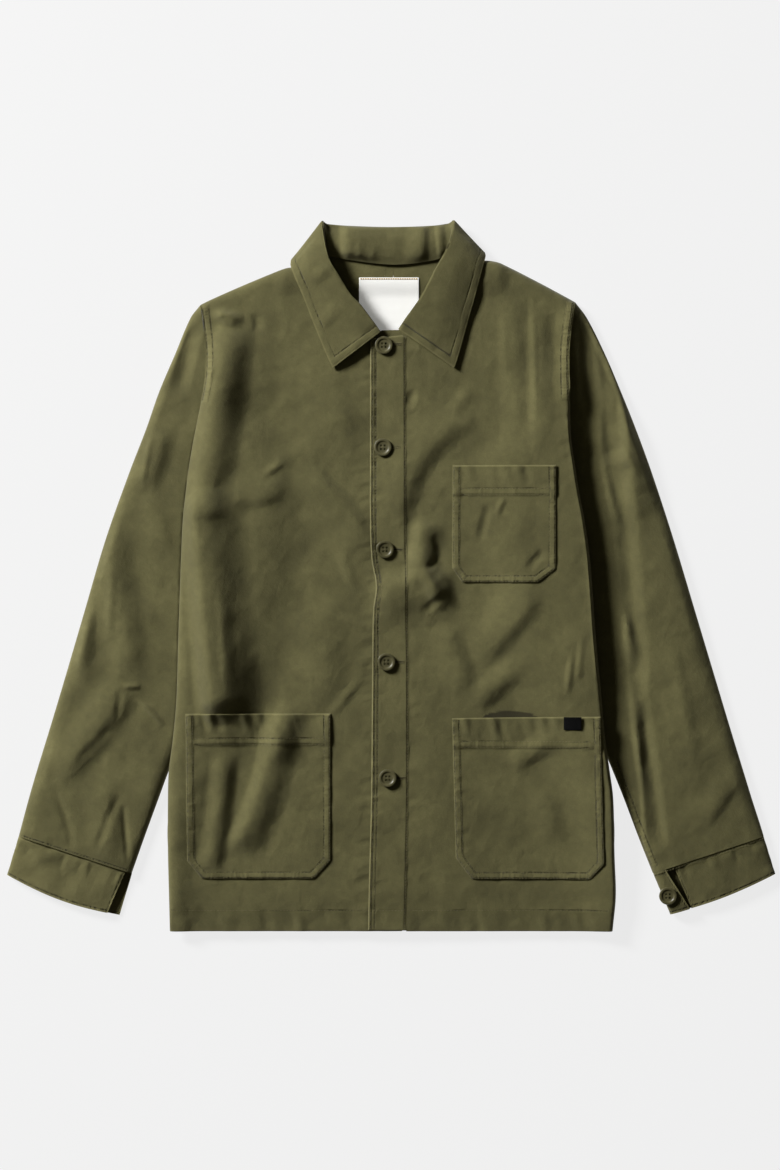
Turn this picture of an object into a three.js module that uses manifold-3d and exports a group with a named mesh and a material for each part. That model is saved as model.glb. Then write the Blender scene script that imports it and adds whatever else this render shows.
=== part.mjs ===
// A chore jacket laid flat on its back, buttoned, with its sleeves beside and partly under the body.
// Millimetres. +Z comes up out of the front, +Y points to the collar and +X to the wearer's left.
// The origin is on the surface that it lies on, in the middle of its outline.
// Right and left are the wearer's, so the right side lies at negative X.

import * as THREE from 'three';
import { mergeVertices } from 'three/addons/utils/BufferGeometryUtils.js';
import Module from 'manifold-3d';

const wasm = await Module();
wasm.setup();

// Driving dimensions

const CLOTH = 1.4;
const BACK_CLOTH = 1.2;
const SLEEVE_CLOTH = 1.3;
const CUFF_CLOTH = 1.8;
const COLLAR_CLOTH = 2.0;
const PLACKET_CLOTH = 2.2;
const POCKET_CLOTH = 1.2;
const LABEL_CLOTH = 0.8;
const SEAM_GAP = 0.3;

const BODY_PUFF = 8.0;
const BODY_EDGE_RADIUS = 13;
const SHOULDER_EDGE_RADIUS = 11;
const HEM_Y = -383.5;
const HEM_REACH = 50;
const HEM_SHARE = 0.78;
const PLACKET_STEP = CLOTH + SEAM_GAP;
const STEEPEST_WALL = 1.8;
const SLOPE_REACH = 4;

const SHOULDER_BEND_Y = 135;
const SHOULDER_TIP_Y = { right: 294, left: 297 };
const ARMHOLE_OPEN_START = 5;
const ARMHOLE_OPEN_LENGTH = 40;

const UNDER_SLEEVE_LIFT = 8.1;
const UNDER_SLEEVE_MARGIN = 19;
const UNDER_SLEEVE_SLOPE = 14;
const UNDER_SLEEVE_END = 42;
const UNDER_SLEEVE_END_SLOPE = 40;

const NECK_LIFT = 3.2;
const NECK_LIFT_Y = 300;
const NECK_LIFT_SLOPE_Y = 20;
const NECK_LIFT_X = 130;
const NECK_LIFT_SLOPE_X = 16;
const NECK_MIDDLE = [-2, 312];
const NECK_GAP = 2.2;

const SLEEVE_EDGE_Z = 3.4;
const SLEEVE_TOP_Z = 10.9;
const SLEEVE_EDGE_RADIUS = 15;
const SLEEVE_UNDER_BODY_Z = 7.3;
const SLEEVE_RISE_START = 18;
const SLEEVE_RISE_WIDTH = 24;
const SLEEVE_RISE_ABOVE_TUCK = 16;
const SLEEVE_RISE_LENGTH = 34;
const SLEEVE_RISE_HEIGHT = 30;
const SLEEVE_FOLD_FADE = 12;
const SLEEVE_UNDER_RADIUS = 7;
const SLEEVE_EDGE_STEP = 0.2;
const SLEEVE_SLOPED_WALL = 1.12;

const BUTTON_RADIUS = 9.5;
const BUTTON_HEIGHT = 3.2;
const BUTTON_SIDES = 14;
const BUTTON_STAND = 0.55;
const TAB_TOP_Z = 10.5;

// Half the height of the prisms that cut the layers, how far their outlines reach past the jacket,
// and the distance at which two points are one

const PRISM_REACH = 100;
const FAR = 420;
const MERGE_DISTANCE = 1e-4;

// Colours and finishes

const OLIVE = { color: '#5b5a3c', roughness: 0.9, metalness: 0 };
const OLIVE_LIGHT = { color: '#636243', roughness: 0.9, metalness: 0 };
const OLIVE_INSIDE = { color: '#56553a', roughness: 0.92, metalness: 0 };
const BUTTON_FINISH = { color: '#4a4a35', roughness: 0.45, metalness: 0 };
const LABEL_WHITE = { color: '#e9e8e4', roughness: 0.8, metalness: 0 };
const TAG_BLACK = { color: '#17171a', roughness: 0.8, metalness: 0 };

// Side edges of the body, from the shoulder tips down to the hem

const BODY_EDGES = [
  { y: 297, right: -206.0, left: 199.0 },
  { y: 250, right: -200.3, left: 193.0 },
  { y: 218, right: -200.3, left: 192.4 },
  { y: 190, right: -205.0, left: 193.0 },
  { y: 150, right: -213.0, left: 194.5 },
  { y: 118, right: -218.5, left: 199.0 },
  { y: 90, right: -222.0, left: 203.5 },
  { y: 61, right: -225.0, left: 209.0 },
  { y: 18, right: -227.0, left: 215.0 },
  { y: -69, right: -230.0, left: 221.5 },
  { y: -133, right: -232.0, left: 227.5 },
  { y: -177, right: -236.0, left: 231.5 },
  { y: -209, right: -240.0, left: 236.0 },
  { y: -240, right: -241.0, left: 240.0 },
  { y: -300, right: -241.0, left: 241.5 },
  { y: -345, right: -240.0, left: 243.0 },
  { y: -384, right: -239.0, left: 239.5 },
];

// Shoulder line, from the right tip over the neck to the left tip

const SHOULDER_LINE = [
  { x: -212, y: 291.5 },
  { x: -195, y: 300 },
  { x: -149, y: 320 },
  { x: -114, y: 333.5 },
  { x: -98, y: 335.5 },
  { x: -74, y: 346 },
  { x: 0, y: 354 },
  { x: 72, y: 352 },
  { x: 94, y: 342.5 },
  { x: 109, y: 341 },
  { x: 120, y: 338 },
  { x: 156, y: 320 },
  { x: 194, y: 299.5 },
  { x: 205, y: 293 },
];

// The lattice that the body's cloth shares: columns from the right edge to the left edge, and rows

const COLUMNS = [
  0, 0.012, 0.03, 0.055, 0.085, 0.115, 0.145, 0.175, 0.21, 0.25, 0.29, 0.33, 0.37, 0.41, 0.45,
  0.485, 0.52, 0.555, 0.595, 0.635, 0.675, 0.715, 0.755, 0.795, 0.835, 0.87, 0.905, 0.94, 0.968,
  0.988, 1,
];
const BACK_COLUMNS = [
  0, 0.03, 0.055, 0.085, 0.115, 0.145, 0.175, 0.21, 0.25, 0.5, 0.755, 0.795, 0.835, 0.87, 0.905,
  0.94, 0.968, 1,
];
const LOW_ROWS = [
  -383.5, -375, -360, -336, -312, -289, -267, -245, -223, -203, -184, -166, -148, -128, -108, -88,
  -69, -50, -32, -14, 4, 22, 40, 58, 77, 96, 115, 135,
];
const HIGH_ROW_COUNT = 9;

// Folds of the body: each runs from x0, y0 to x1, y1 and bows sideways. before and after are its
// widths on the two sides of its crest, after being the side at +X of a fold that runs down.

const BODY_FOLDS = [
  { x0: -160, y0: 278, x1: -203, y1: 10, bow: 0, before: 24, after: 30, height: 12, fade: 0.22 },
  { x0: -203, y0: 60, x1: -185, y1: -158, bow: -3, before: 30, after: 26, height: 11, fade: 0.25 },
  { x0: -198, y0: 286, x1: -156, y1: 276, bow: 0, before: 12, after: 10, height: 5, fade: 0.4 },
  { x0: -158, y0: 100, x1: -94, y1: 126, bow: 0, before: 16, after: 26, height: 6, fade: 0.4 },
  { x0: -112, y0: 122, x1: -24, y1: 14, bow: 0, before: 42, after: 18, height: 5, fade: 0.35 },
  { x0: -70, y0: 262, x1: -46, y1: 110, bow: 0, before: 66, after: 28, height: 4, fade: 0.4 },
  { x0: -76, y0: -14, x1: -62, y1: -158, bow: 0, before: 60, after: 34, height: 6, fade: 0.4 },
  { x0: -152, y0: -158, x1: -186, y1: -330, bow: 0, before: 20, after: 22, height: -5, fade: 0.25 },
  { x0: -100, y0: -160, x1: -152, y1: -300, bow: 9, before: 20, after: 26, height: -5, fade: 0.3 },
  { x0: -128, y0: -170, x1: -166, y1: -320, bow: 4, before: 18, after: 18, height: 4, fade: 0.3 },
  { x0: 112, y0: 184, x1: 10, y1: 40, bow: -12, before: 44, after: 22, height: 8, fade: 0.3 },
  { x0: 48, y0: 58, x1: 36, y1: -2, bow: 0, before: 12, after: 14, height: -5, fade: 0.4 },
  { x0: 70, y0: -10, x1: -28, y1: -22, bow: 0, before: 26, after: 18, height: 6, fade: 0.35 },
  { x0: 131, y0: 312, x1: 136, y1: 132, bow: 0, before: 18, after: 16, height: 3.5, fade: 0.3 },
  { x0: 161, y0: 316, x1: 160, y1: 122, bow: 0, before: 14, after: 20, height: 4, fade: 0.3 },
  { x0: 166, y0: -4, x1: 88, y1: -104, bow: 0, before: 38, after: 20, height: 5, fade: 0.35 },
  { x0: 56, y0: -48, x1: 88, y1: -136, bow: 0, before: 26, after: 18, height: 4, fade: 0.35 },
  { x0: 146, y0: -88, x1: 84, y1: -144, bow: 0, before: 22, after: 18, height: 4, fade: 0.35 },
  { x0: 182, y0: -172, x1: 122, y1: -208, bow: 0, before: 18, after: 16, height: 4, fade: 0.4 },
  { x0: 158, y0: -222, x1: 184, y1: -288, bow: 0, before: 26, after: 18, height: 3.5, fade: 0.4 },
  { x0: 176, y0: 200, x1: 206, y1: -160, bow: 8, before: 44, after: 22, height: 7, fade: 0.2 },
  { x0: 206, y0: -150, x1: 214, y1: -360, bow: 0, before: 40, after: 30, height: 3, fade: 0.3 },
];

const SLEEVE_FOLDS = [
  { x0: -212, y0: 282, x1: -232, y1: 190, bow: 0, before: 16, after: 14, height: -4, fade: 0.3 },
  { x0: -242, y0: 172, x1: -266, y1: 82, bow: 0, before: 24, after: 16, height: 6, fade: 0.35 },
  { x0: -266, y0: 96, x1: -238, y1: 20, bow: 0, before: 26, after: 16, height: 5, fade: 0.35 },
  { x0: -308, y0: 70, x1: -277, y1: -126, bow: 0, before: 30, after: 18, height: 9, fade: 0.25 },
  { x0: -272, y0: -104, x1: -366, y1: -228, bow: 0, before: 34, after: 20, height: 8, fade: 0.3 },
  { x0: -334, y0: -6, x1: -333, y1: -124, bow: 0, before: 14, after: 18, height: 4, fade: 0.35 },
  { x0: -312, y0: -215, x1: -300, y1: -318, bow: 0, before: 28, after: 18, height: 3.5, fade: 0.35 },
  { x0: 206, y0: 290, x1: 214, y1: 96, bow: 4, before: 14, after: 16, height: -6, fade: 0.25 },
  { x0: 236, y0: 240, x1: 268, y1: 46, bow: 0, before: 20, after: 34, height: 6, fade: 0.25 },
  { x0: 246, y0: -34, x1: 268, y1: -104, bow: 0, before: 14, after: 14, height: 6, fade: 0.35 },
  { x0: 264, y0: -84, x1: 262, y1: -232, bow: 0, before: 14, after: 20, height: 4, fade: 0.3 },
  { x0: 378, y0: -206, x1: 332, y1: -276, bow: 0, before: 28, after: 18, height: 5, fade: 0.35 },
  { x0: 276, y0: 90, x1: 336, y1: -270, bow: 0, before: 44, after: 44, height: 3, fade: 0.25 },
];

// Sleeves: outer edge and inner edge, the last one partly under the body

const RIGHT_SLEEVE_EDGES = [
  { y: 294, outer: -206.3, inner: -165 },
  { y: 280, outer: -217, inner: -165 },
  { y: 240, outer: -234, inner: -165 },
  { y: 200, outer: -251, inner: -165 },
  { y: 160, outer: -265, inner: -165 },
  { y: 112, outer: -283.5, inner: -165 },
  { y: 40, outer: -309, inner: -168 },
  { y: -40, outer: -332.5, inner: -180 },
  { y: -110, outer: -353, inner: -200 },
  { y: -165, outer: -369.5, inner: -221 },
  { y: -209, outer: -383, inner: -240 },
  { y: -240, outer: -392, inner: -251.5 },
  { y: -281, outer: -403, inner: -266.5 },
  { y: -325, outer: -415, inner: -282 },
];
const LEFT_SLEEVE_EDGES = [
  { y: 297, outer: 199.3, inner: 158 },
  { y: 280, outer: 212, inner: 158 },
  { y: 240, outer: 232, inner: 158 },
  { y: 200, outer: 249, inner: 158 },
  { y: 160, outer: 265, inner: 158 },
  { y: 112, outer: 282.5, inner: 158 },
  { y: 40, outer: 306, inner: 163 },
  { y: -40, outer: 330, inner: 178 },
  { y: -110, outer: 351, inner: 199 },
  { y: -165, outer: 367.5, inner: 221 },
  { y: -209, outer: 381, inner: 239.5 },
  { y: -240, outer: 390.5, inner: 252 },
  { y: -281, outer: 403.5, inner: 267.5 },
  { y: -325, outer: 415, inner: 285 },
];

// Rings of a sleeve: the heights at which its outer and inner edges are met, and the share of the
// armhole's curve that the ring still has

const SLEEVE_RINGS = [
  { outer: 294, inner: 112, curve: 1 },
  { outer: 270, inner: 96, curve: 0.85 },
  { outer: 240, inner: 75, curve: 0.68 },
  { outer: 208, inner: 50, curve: 0.46 },
  { outer: 176, inner: 24, curve: 0.25 },
  { outer: 144, inner: -2, curve: 0.1 },
  { outer: 113, inner: -27, curve: 0 },
  { outer: 82, inner: -51, curve: 0 },
  { outer: 51, inner: -74, curve: 0 },
  { outer: 20, inner: -97, curve: 0 },
  { outer: -10, inner: -119, curve: 0 },
  { outer: -40, inner: -141, curve: 0 },
  { outer: -69, inner: -162, curve: 0 },
  { outer: -97, inner: -182, curve: 0 },
  { outer: -124, inner: -202, curve: 0 },
  { outer: -155, inner: -226, curve: 0 },
  { outer: -190, inner: -253, curve: 0 },
  { outer: -222, inner: -277, curve: 0 },
  { outer: -253, inner: -300, curve: 0 },
  { outer: -281, inner: -321, curve: 0 },
];

const RIGHT_SIDE = {
  sign: -1,
  edge: 'right',
  column: 0,
  sleeveEdges: RIGHT_SLEEVE_EDGES,
  tuckTop: 190,
  tuckBottom: 112,
  tuckReach: 54,
};
const LEFT_SIDE = {
  sign: 1,
  edge: 'left',
  column: 1,
  sleeveEdges: LEFT_SLEEVE_EDGES,
  tuckTop: 170,
  tuckBottom: 112,
  tuckReach: 41,
};

// Collar sections from the right front end round the back to the left front end. roll is the folded
// edge, rim the free edge of the fall and neck the sewn edge of the stand. turn says where the fall
// lies from the stand: 90 above it, 0 outside it and -90 below it.

const COLLAR_SECTIONS = [
  { roll: [-12, 263.5, 16.4], rim: [-63, 225, 15.0], neck: [-21, 261.5, 14.2], turn: 90 },
  { roll: [-20, 274.5, 18.5], rim: [-69.5, 239, 14.8], neck: [-34, 270, 14.2], turn: 90 },
  { roll: [-33.5, 292.5, 21], rim: [-77.5, 258, 14.6], neck: [-51, 288, 13.8], turn: 90 },
  { roll: [-44.5, 304, 22], rim: [-85.5, 278, 14.4], neck: [-62, 304, 13.4], turn: 90 },
  { roll: [-57.5, 325, 23], rim: [-96, 305, 14.4], neck: [-71, 323, 12], turn: 90 },
  { roll: [-68.5, 346, 22], rim: [-104.5, 325, 14], neck: [-75, 336, 10], turn: 80 },
  { roll: [-73.5, 380, 12.5], rim: [-108, 338, 8.5], neck: [-72, 342.5, 7.4], turn: 0 },
  { roll: [-68, 380.5, 5], rim: [-101, 343, 2.2], neck: [-64, 345.5, 6.8], turn: -80 },
  { roll: [-45, 378.8, 4], rim: [-58, 328, 1.3], neck: [-46, 343, 6.2], turn: -90 },
  { roll: [0, 377.5, 4], rim: [0, 326, 1.3], neck: [2, 337.5, 6.2], turn: -90 },
  { roll: [42, 378.8, 4], rim: [54, 329, 1.3], neck: [44, 342, 6.2], turn: -90 },
  { roll: [61, 381, 5], rim: [93, 349, 2.2], neck: [60, 347, 6.8], turn: -80 },
  { roll: [67, 381.5, 12.5], rim: [101.5, 347.5, 9.5], neck: [67, 345, 8], turn: 0 },
  { roll: [61.5, 356, 22], rim: [98, 332, 17.2], neck: [67, 336, 13], turn: 80 },
  { roll: [47.5, 329, 23], rim: [90.5, 303, 16.6], neck: [61, 322, 13.6], turn: 90 },
  { roll: [34, 303, 22], rim: [83, 277, 15.6], neck: [52, 302, 14.6], turn: 90 },
  { roll: [25.5, 290, 21], rim: [77, 255, 15.6], neck: [41, 285, 14.8], turn: 90 },
  { roll: [15.5, 276, 18.8], rim: [72, 237, 15.8], neck: [27, 269, 15], turn: 90 },
  { roll: [9, 266, 16.8], rim: [68, 225, 16.0], neck: [17, 262, 14.8], turn: 90 },
];
const COLLAR_STEPS_BETWEEN = 2;
const COLLAR_ROLL_RADIUS = 1.7;
const COLLAR_CENTRE = [-2, 300, 0];
const FIRST_BACK_SECTION = 6;
const LAST_BACK_SECTION = 12;

// Points of the collar's section between the neck and the roll and between the roll and the rim: the
// share of the way, and the lift towards the fall's side where the fall lies above and below

const STAND_POINTS = [
  { share: 0.35, above: -0.2, below: -3.2 },
  { share: 0.7, above: -0.2, below: -3.2 },
];
const ROLL_POINT = { forward: 0.75, aside: 0.7 };
const FALL_POINTS = [
  { share: 0.33, above: 1.4, below: 0 },
  { share: 0.67, above: 1.2, below: 0 },
];
const FALL_ABOVE = 0.5;

// Placket edges, the button stand's edge, the centre-back seam and the pocket outlines

const PLACKET_EDGES = [
  { y: 259, right: -22.5, left: 16.4 },
  { y: 120, right: -22.7, left: 16.6 },
  { y: 61, right: -22.7, left: 17.0 },
  { y: 18, right: -21.0, left: 17.4 },
  { y: -10, right: -16.4, left: 18.0 },
  { y: -37, right: -19.4, left: 18.2 },
  { y: -120, right: -20.5, left: 19.2 },
  { y: -240, right: -21.6, left: 19.0 },
  { y: -328, right: -23.8, left: 17.4 },
  { y: -382.5, right: -24.8, left: 16.2 },
];
const PLACKET_TOP = [[-21, 257], [12, 260.5]];
const STAND_EDGE = [[12, -FAR], [12, 266.5], [-10, 266]];
const CENTRE_BACK_X = 2.5;
const CENTRE_BACK_TOP_Y = 336;
const NECK_FROM_CENTRE = 1;
const NECK_TO_SHOULDER = 2;

const CHEST_POCKET = [[66.5, 120], [66.3, 8.6], [77.3, -7], [158.4, -7], [178, 8], [178, 120]];
const HIP_POCKET_RIGHT = [
  [-221.4, -148], [-220, -307], [-204, -327], [-83, -327], [-64.8, -307], [-64.8, -148],
];
const HIP_POCKET_LEFT = [
  [66, -153], [70, -304], [87.5, -327.5], [215, -328], [230.5, -310.5], [226, -151],
];
const CHEST_HEM_Y = 88;
const HIP_HEM_Y = -182;
const POCKET_HEM_EXTRA = 1.0;
const POCKET_HEM_STEP = 6;

const LABEL = { x0: -34.6, x1: 30.2, y0: 258, y1: 323.5 };
const TAG = { x0: 186, x1: 205, y0: -165.5, y1: -151.5 };
const TAG_CLOTH = 0.9;

const FRONT_BUTTONS = [
  { x: -7.8, y: 249.6 },
  { x: -8.9, y: 139.4 },
  { x: -6.6, y: 29.2 },
  { x: -5.0, y: -92.3 },
  { x: -3.6, y: -217.6 },
];
const CUFF_BUTTON = { x: 299, y: -345 };

// Cuffs: a strip that starts over the hand's side, turns round the outer edge, comes back below and
// ends as a tab. Each station is a distance from the outer edge, a share of the cuff's width and a z.
// slants moves its two ends along the lower edge.

const CUFF_STEPS = 4;
const CUFF_RIGHT = {
  lower: { outer: [-415.6, -322.5], inner: [-294, -366.5] },
  slants: [6, 0],
  path: [
    { from: -7, share: 1, z: 6.4 },
    { from: -22, share: 1, z: 7.6 },
    { from: 0, share: 0.7, z: 8.0 },
    { from: 0, share: 0.45, z: 8.2 },
    { from: 0, share: 0.2, z: 8.0 },
    { from: 9, share: 0, z: 7.4 },
    { from: 3, share: 0, z: 6.2 },
    { from: 1, share: 0, z: 4.2 },
    { from: 3, share: 0, z: 1.9 },
    { from: 9, share: 0, z: 0.9 },
    { from: 0, share: 0.3, z: 0.9 },
    { from: 0, share: 0.6, z: 0.9 },
    { from: -12, share: 1, z: 0.9 },
    { from: 0, share: 1, z: 0.9 },
  ],
};
const CUFF_LEFT = {
  lower: { outer: [416, -321.5], inner: [302, -365.5] },
  slants: [0, 8],
  path: [
    { from: -24, share: 1, z: 6.3 },
    { from: -34, share: 1, z: 7.2 },
    { from: 0, share: 0.62, z: 8.0 },
    { from: 0, share: 0.42, z: 8.2 },
    { from: 0, share: 0.2, z: 8.0 },
    { from: 9, share: 0, z: 7.4 },
    { from: 3, share: 0, z: 6.2 },
    { from: 1, share: 0, z: 4.2 },
    { from: 3, share: 0, z: 1.9 },
    { from: 9, share: 0, z: 0.9 },
    { from: 0, share: 0.3, z: 0.9 },
    { from: 0, share: 0.6, z: 0.9 },
    { from: -9, share: 1, z: 0.9 },
    { from: -3, share: 1, z: 2.0 },
    { from: -1, share: 1, z: 4.8 },
    { from: -3, share: 1, z: 8.0 },
    { from: -8, share: 1, z: 9.4 },
    { from: -14, share: 1, z: 9.6 },
  ],
};

// Points added to the armhole's line near its two ends, and along its hidden part

const ARMHOLE_TIP_SHARES = [0.15, 0.45];
const ARMHOLE_HIDDEN_STEPS = 6;
const ARMHOLE_UNDER_SHARES = [0.6, 0.85];

// A button's profile: inset from its rim and height
const BUTTON_PROFILE = [
  { inset: BUTTON_RADIUS, height: 0 },
  { inset: 1.4, height: 0 },
  { inset: 0, height: 1.2 },
  { inset: 0.2, height: 2.4 },
  { inset: 1.4, height: BUTTON_HEIGHT },
  { inset: 3.2, height: BUTTON_HEIGHT - 1.1 },
  { inset: BUTTON_RADIUS, height: BUTTON_HEIGHT - 1.2 },
];

// Numbers and tables

function clamp(value, low, high) {
  return Math.min(Math.max(value, low), high);
}

function lerp(from, to, share) {
  return from + (to - from) * share;
}

// The point at a share of the way between two [x, y] points
function between(from, to, share) {
  return [lerp(from[0], to[0], share), lerp(from[1], to[1], share)];
}

function distance(from, to) {
  return Math.hypot(to[0] - from[0], to[1] - from[1]);
}

function smooth(share) {
  const t = clamp(share, 0, 1);
  return t * t * (3 - 2 * t);
}

// The rise of a rounded edge: 0 at the edge and 1 from its radius inwards
function roll(distance, radius) {
  const rest = 1 - clamp(distance / radius, 0, 1);
  return Math.sqrt(1 - rest * rest);
}

// Reads a column of a table along a smooth curve through its rows
function readTable(rows, place, key, at) {
  const rising = rows[rows.length - 1][place] > rows[0][place];
  const sorted = rising ? rows : [...rows].reverse();
  const last = sorted.length - 1;
  let index = 0;
  while (index < last - 1 && at > sorted[index + 1][place]) index += 1;
  const slopeAt = (row) => {
    const before = sorted[Math.max(row - 1, 0)];
    const after = sorted[Math.min(row + 1, last)];
    return (after[key] - before[key]) / (after[place] - before[place]);
  };
  const from = sorted[index];
  const to = sorted[index + 1];
  const span = to[place] - from[place];
  const t = clamp((at - from[place]) / span, 0, 1);
  const rest = 1 - t;
  const curve = from[key] * (1 + 2 * t) * rest * rest + to[key] * (3 - 2 * t) * t * t;
  return curve + span * t * rest * (slopeAt(index) * rest - slopeAt(index + 1) * t);
}

function bodyEdge(side, y) {
  return readTable(BODY_EDGES, 'y', side.edge, y);
}

function shoulderY(x) {
  return readTable(SHOULDER_LINE, 'x', 'y', x);
}

function foldHeight(folds, x, y) {
  let total = 0;
  for (const fold of folds) {
    const runX = fold.x1 - fold.x0;
    const runY = fold.y1 - fold.y0;
    const length = Math.hypot(runX, runY);
    const along = ((x - fold.x0) * runX + (y - fold.y0) * runY) / (length * length);
    const bow = 4 * along * (1 - along) * fold.bow;
    const across = ((y - fold.y0) * runX - (x - fold.x0) * runY) / length - bow;
    const width = across < 0 ? fold.before : fold.after;
    if (along <= 0 || along >= 1 || Math.abs(across) >= width) continue;
    const crest = 0.5 + 0.5 * Math.cos((Math.PI * across) / width);
    total += fold.height * crest * smooth(along / fold.fade) * smooth((1 - along) / fold.fade);
  }
  return total;
}

// Heights of the body's layers

// The hidden line where a sleeve's mouth lies under the body, carried on by its inner edge
function sleeveInnerX(side, y) {
  if (y >= side.tuckTop) return bodyEdge(side, y);
  if (y <= side.tuckBottom) return readTable(side.sleeveEdges, 'y', 'inner', y);
  const inward = smooth((side.tuckTop - y) / (side.tuckTop - side.tuckBottom));
  return bodyEdge(side, y) - side.sign * side.tuckReach * inward;
}

function backUnderside(x, y) {
  let lift = 0;
  for (const side of [RIGHT_SIDE, LEFT_SIDE]) {
    const past = side.sign * (x - sleeveInnerX(side, y)) + UNDER_SLEEVE_SLOPE + UNDER_SLEEVE_MARGIN;
    const below = (side.tuckTop + UNDER_SLEEVE_END - y) / UNDER_SLEEVE_END_SLOPE;
    lift += UNDER_SLEEVE_LIFT * smooth(past / UNDER_SLEEVE_SLOPE) * smooth(below);
  }
  const high = smooth((y - NECK_LIFT_Y) / NECK_LIFT_SLOPE_Y);
  const near = smooth((NECK_LIFT_X - Math.abs(x)) / NECK_LIFT_SLOPE_X);
  return lift + NECK_LIFT * high * near;
}

// How far the front stands over the back: rounded at its sides and shoulders, low at the hem
function frontRise(x, y, step) {
  let sides = 1;
  for (const side of [RIGHT_SIDE, LEFT_SIDE]) {
    const inside = side.sign * (bodyEdge(side, y) - x);
    const open = smooth((y - side.tuckTop + ARMHOLE_OPEN_START) / ARMHOLE_OPEN_LENGTH);
    sides = Math.min(sides, lerp(roll(inside, BODY_EDGE_RADIUS), 1, open));
  }
  const shoulder = roll(shoulderY(x) - y, SHOULDER_EDGE_RADIUS);
  const hem = lerp(HEM_SHARE, 1, smooth((y - HEM_Y) / HEM_REACH));
  const edge = Math.min(sides, shoulder) * hem;
  const folds = foldHeight(BODY_FOLDS, x, y) * edge;
  return Math.max((BODY_PUFF + step) * edge + folds, 0);
}

function frontUnderside(step) {
  return (x, y) => backInner(x, y) + SEAM_GAP + frontRise(x, y, step);
}

// A wall of even thickness is thicker along Z where it slopes
function wallHeight(thickness, height, x, y) {
  const slope = slopeOf(height, x, y, SLOPE_REACH);
  return thickness * Math.min(Math.hypot(1, slope.x, slope.y), STEEPEST_WALL);
}

function slopeOf(height, x, y, reach) {
  return {
    x: (height(x + reach, y) - height(x - reach, y)) / (2 * reach),
    y: (height(x, y + reach) - height(x, y - reach)) / (2 * reach),
  };
}

function topOf(underside, thickness) {
  return (x, y) => underside(x, y) + wallHeight(thickness, underside, x, y);
}

const backInner = topOf(backUnderside, BACK_CLOTH);
const rightFrontUnder = frontUnderside(0);
const leftFrontUnder = frontUnderside(PLACKET_STEP);
const rightFrontTop = topOf(rightFrontUnder, CLOTH);
const leftFrontTop = topOf(leftFrontUnder, CLOTH);
const placketUnder = (x, y) => rightFrontTop(x, y) + SEAM_GAP;
const placketTop = topOf(placketUnder, PLACKET_CLOTH);

// Solids

function solidFrom(positions, triangles) {
  const mesh = new wasm.Mesh({
    numProp: 3,
    vertProperties: new Float32Array(positions.flat()),
    triVerts: new Uint32Array(triangles.flat()),
  });
  mesh.merge();
  return new wasm.Manifold(mesh);
}

function solidFromGeometry(geometry) {
  geometry.deleteAttribute('normal');
  geometry.deleteAttribute('uv');
  const merged = mergeVertices(geometry, MERGE_DISTANCE);
  return new wasm.Manifold(new wasm.Mesh({
    numProp: 3,
    vertProperties: new Float32Array(merged.attributes.position.array),
    triVerts: new Uint32Array(merged.index.array),
  }));
}

function geometryFrom(solid) {
  const mesh = solid.getMesh();
  const positions = [];
  for (let vertex = 0; vertex < mesh.numVert; vertex += 1) {
    const start = vertex * mesh.numProp;
    positions.push(...mesh.vertProperties.slice(start, start + 3));
  }
  const geometry = new THREE.BufferGeometry();
  geometry.setAttribute('position', new THREE.Float32BufferAttribute(positions, 3));
  geometry.setIndex([...mesh.triVerts]);
  geometry.computeVertexNormals();
  return geometry;
}

// An upright prism on an outline of [x, y] points
function prism(outline) {
  const shape = new THREE.Shape(outline.map(([x, y]) => new THREE.Vector2(x, y)));
  const geometry = new THREE.ExtrudeGeometry(shape, { depth: 2 * PRISM_REACH, bevelEnabled: false });
  geometry.translate(0, 0, -PRISM_REACH);
  return solidFromGeometry(geometry);
}

// Joins two stacked grids of points, lower and upper, into a closed wall
function wallBetween(lower, upper) {
  const rows = lower.length;
  const columns = lower[0].length;
  const positions = [...lower.flat(), ...upper.flat()];
  const low = (row, column) => row * columns + column;
  const high = (row, column) => rows * columns + row * columns + column;
  const triangles = [];
  const quad = (a, b, c, d) => triangles.push([a, b, c], [a, c, d]);
  for (let row = 0; row < rows - 1; row += 1) {
    for (let column = 0; column < columns - 1; column += 1) {
      const corners = [[row, column], [row, column + 1], [row + 1, column + 1], [row + 1, column]];
      quad(...corners.map(([r, c]) => high(r, c)));
      const [a, b, c, d] = corners.map(([r, k]) => low(r, k));
      triangles.push([a, c, b], [a, d, c]);
    }
  }
  for (let row = 0; row < rows - 1; row += 1) {
    quad(low(row, 0), high(row, 0), high(row + 1, 0), low(row + 1, 0));
    const end = columns - 1;
    quad(low(row, end), low(row + 1, end), high(row + 1, end), high(row, end));
  }
  for (let column = 0; column < columns - 1; column += 1) {
    quad(low(0, column), low(0, column + 1), high(0, column + 1), high(0, column));
    const end = rows - 1;
    quad(low(end, column), high(end, column), high(end, column + 1), low(end, column + 1));
  }
  return solidFrom(positions, triangles);
}

function bodyRows() {
  const rows = LOW_ROWS.map((y) => ({ y }));
  for (let step = 1; step <= HIGH_ROW_COUNT; step += 1) rows.push({ share: step / HIGH_ROW_COUNT });
  return rows;
}

function bodyPoint(column, row) {
  if (row.y !== undefined) {
    return [lerp(bodyEdge(RIGHT_SIDE, row.y), bodyEdge(LEFT_SIDE, row.y), column), row.y];
  }
  const rightY = lerp(SHOULDER_BEND_Y, SHOULDER_TIP_Y.right, row.share);
  const leftY = lerp(SHOULDER_BEND_Y, SHOULDER_TIP_Y.left, row.share);
  const x = lerp(bodyEdge(RIGHT_SIDE, rightY), bodyEdge(LEFT_SIDE, leftY), column);
  return [x, lerp(SHOULDER_BEND_Y, shoulderY(x), row.share)];
}

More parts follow.
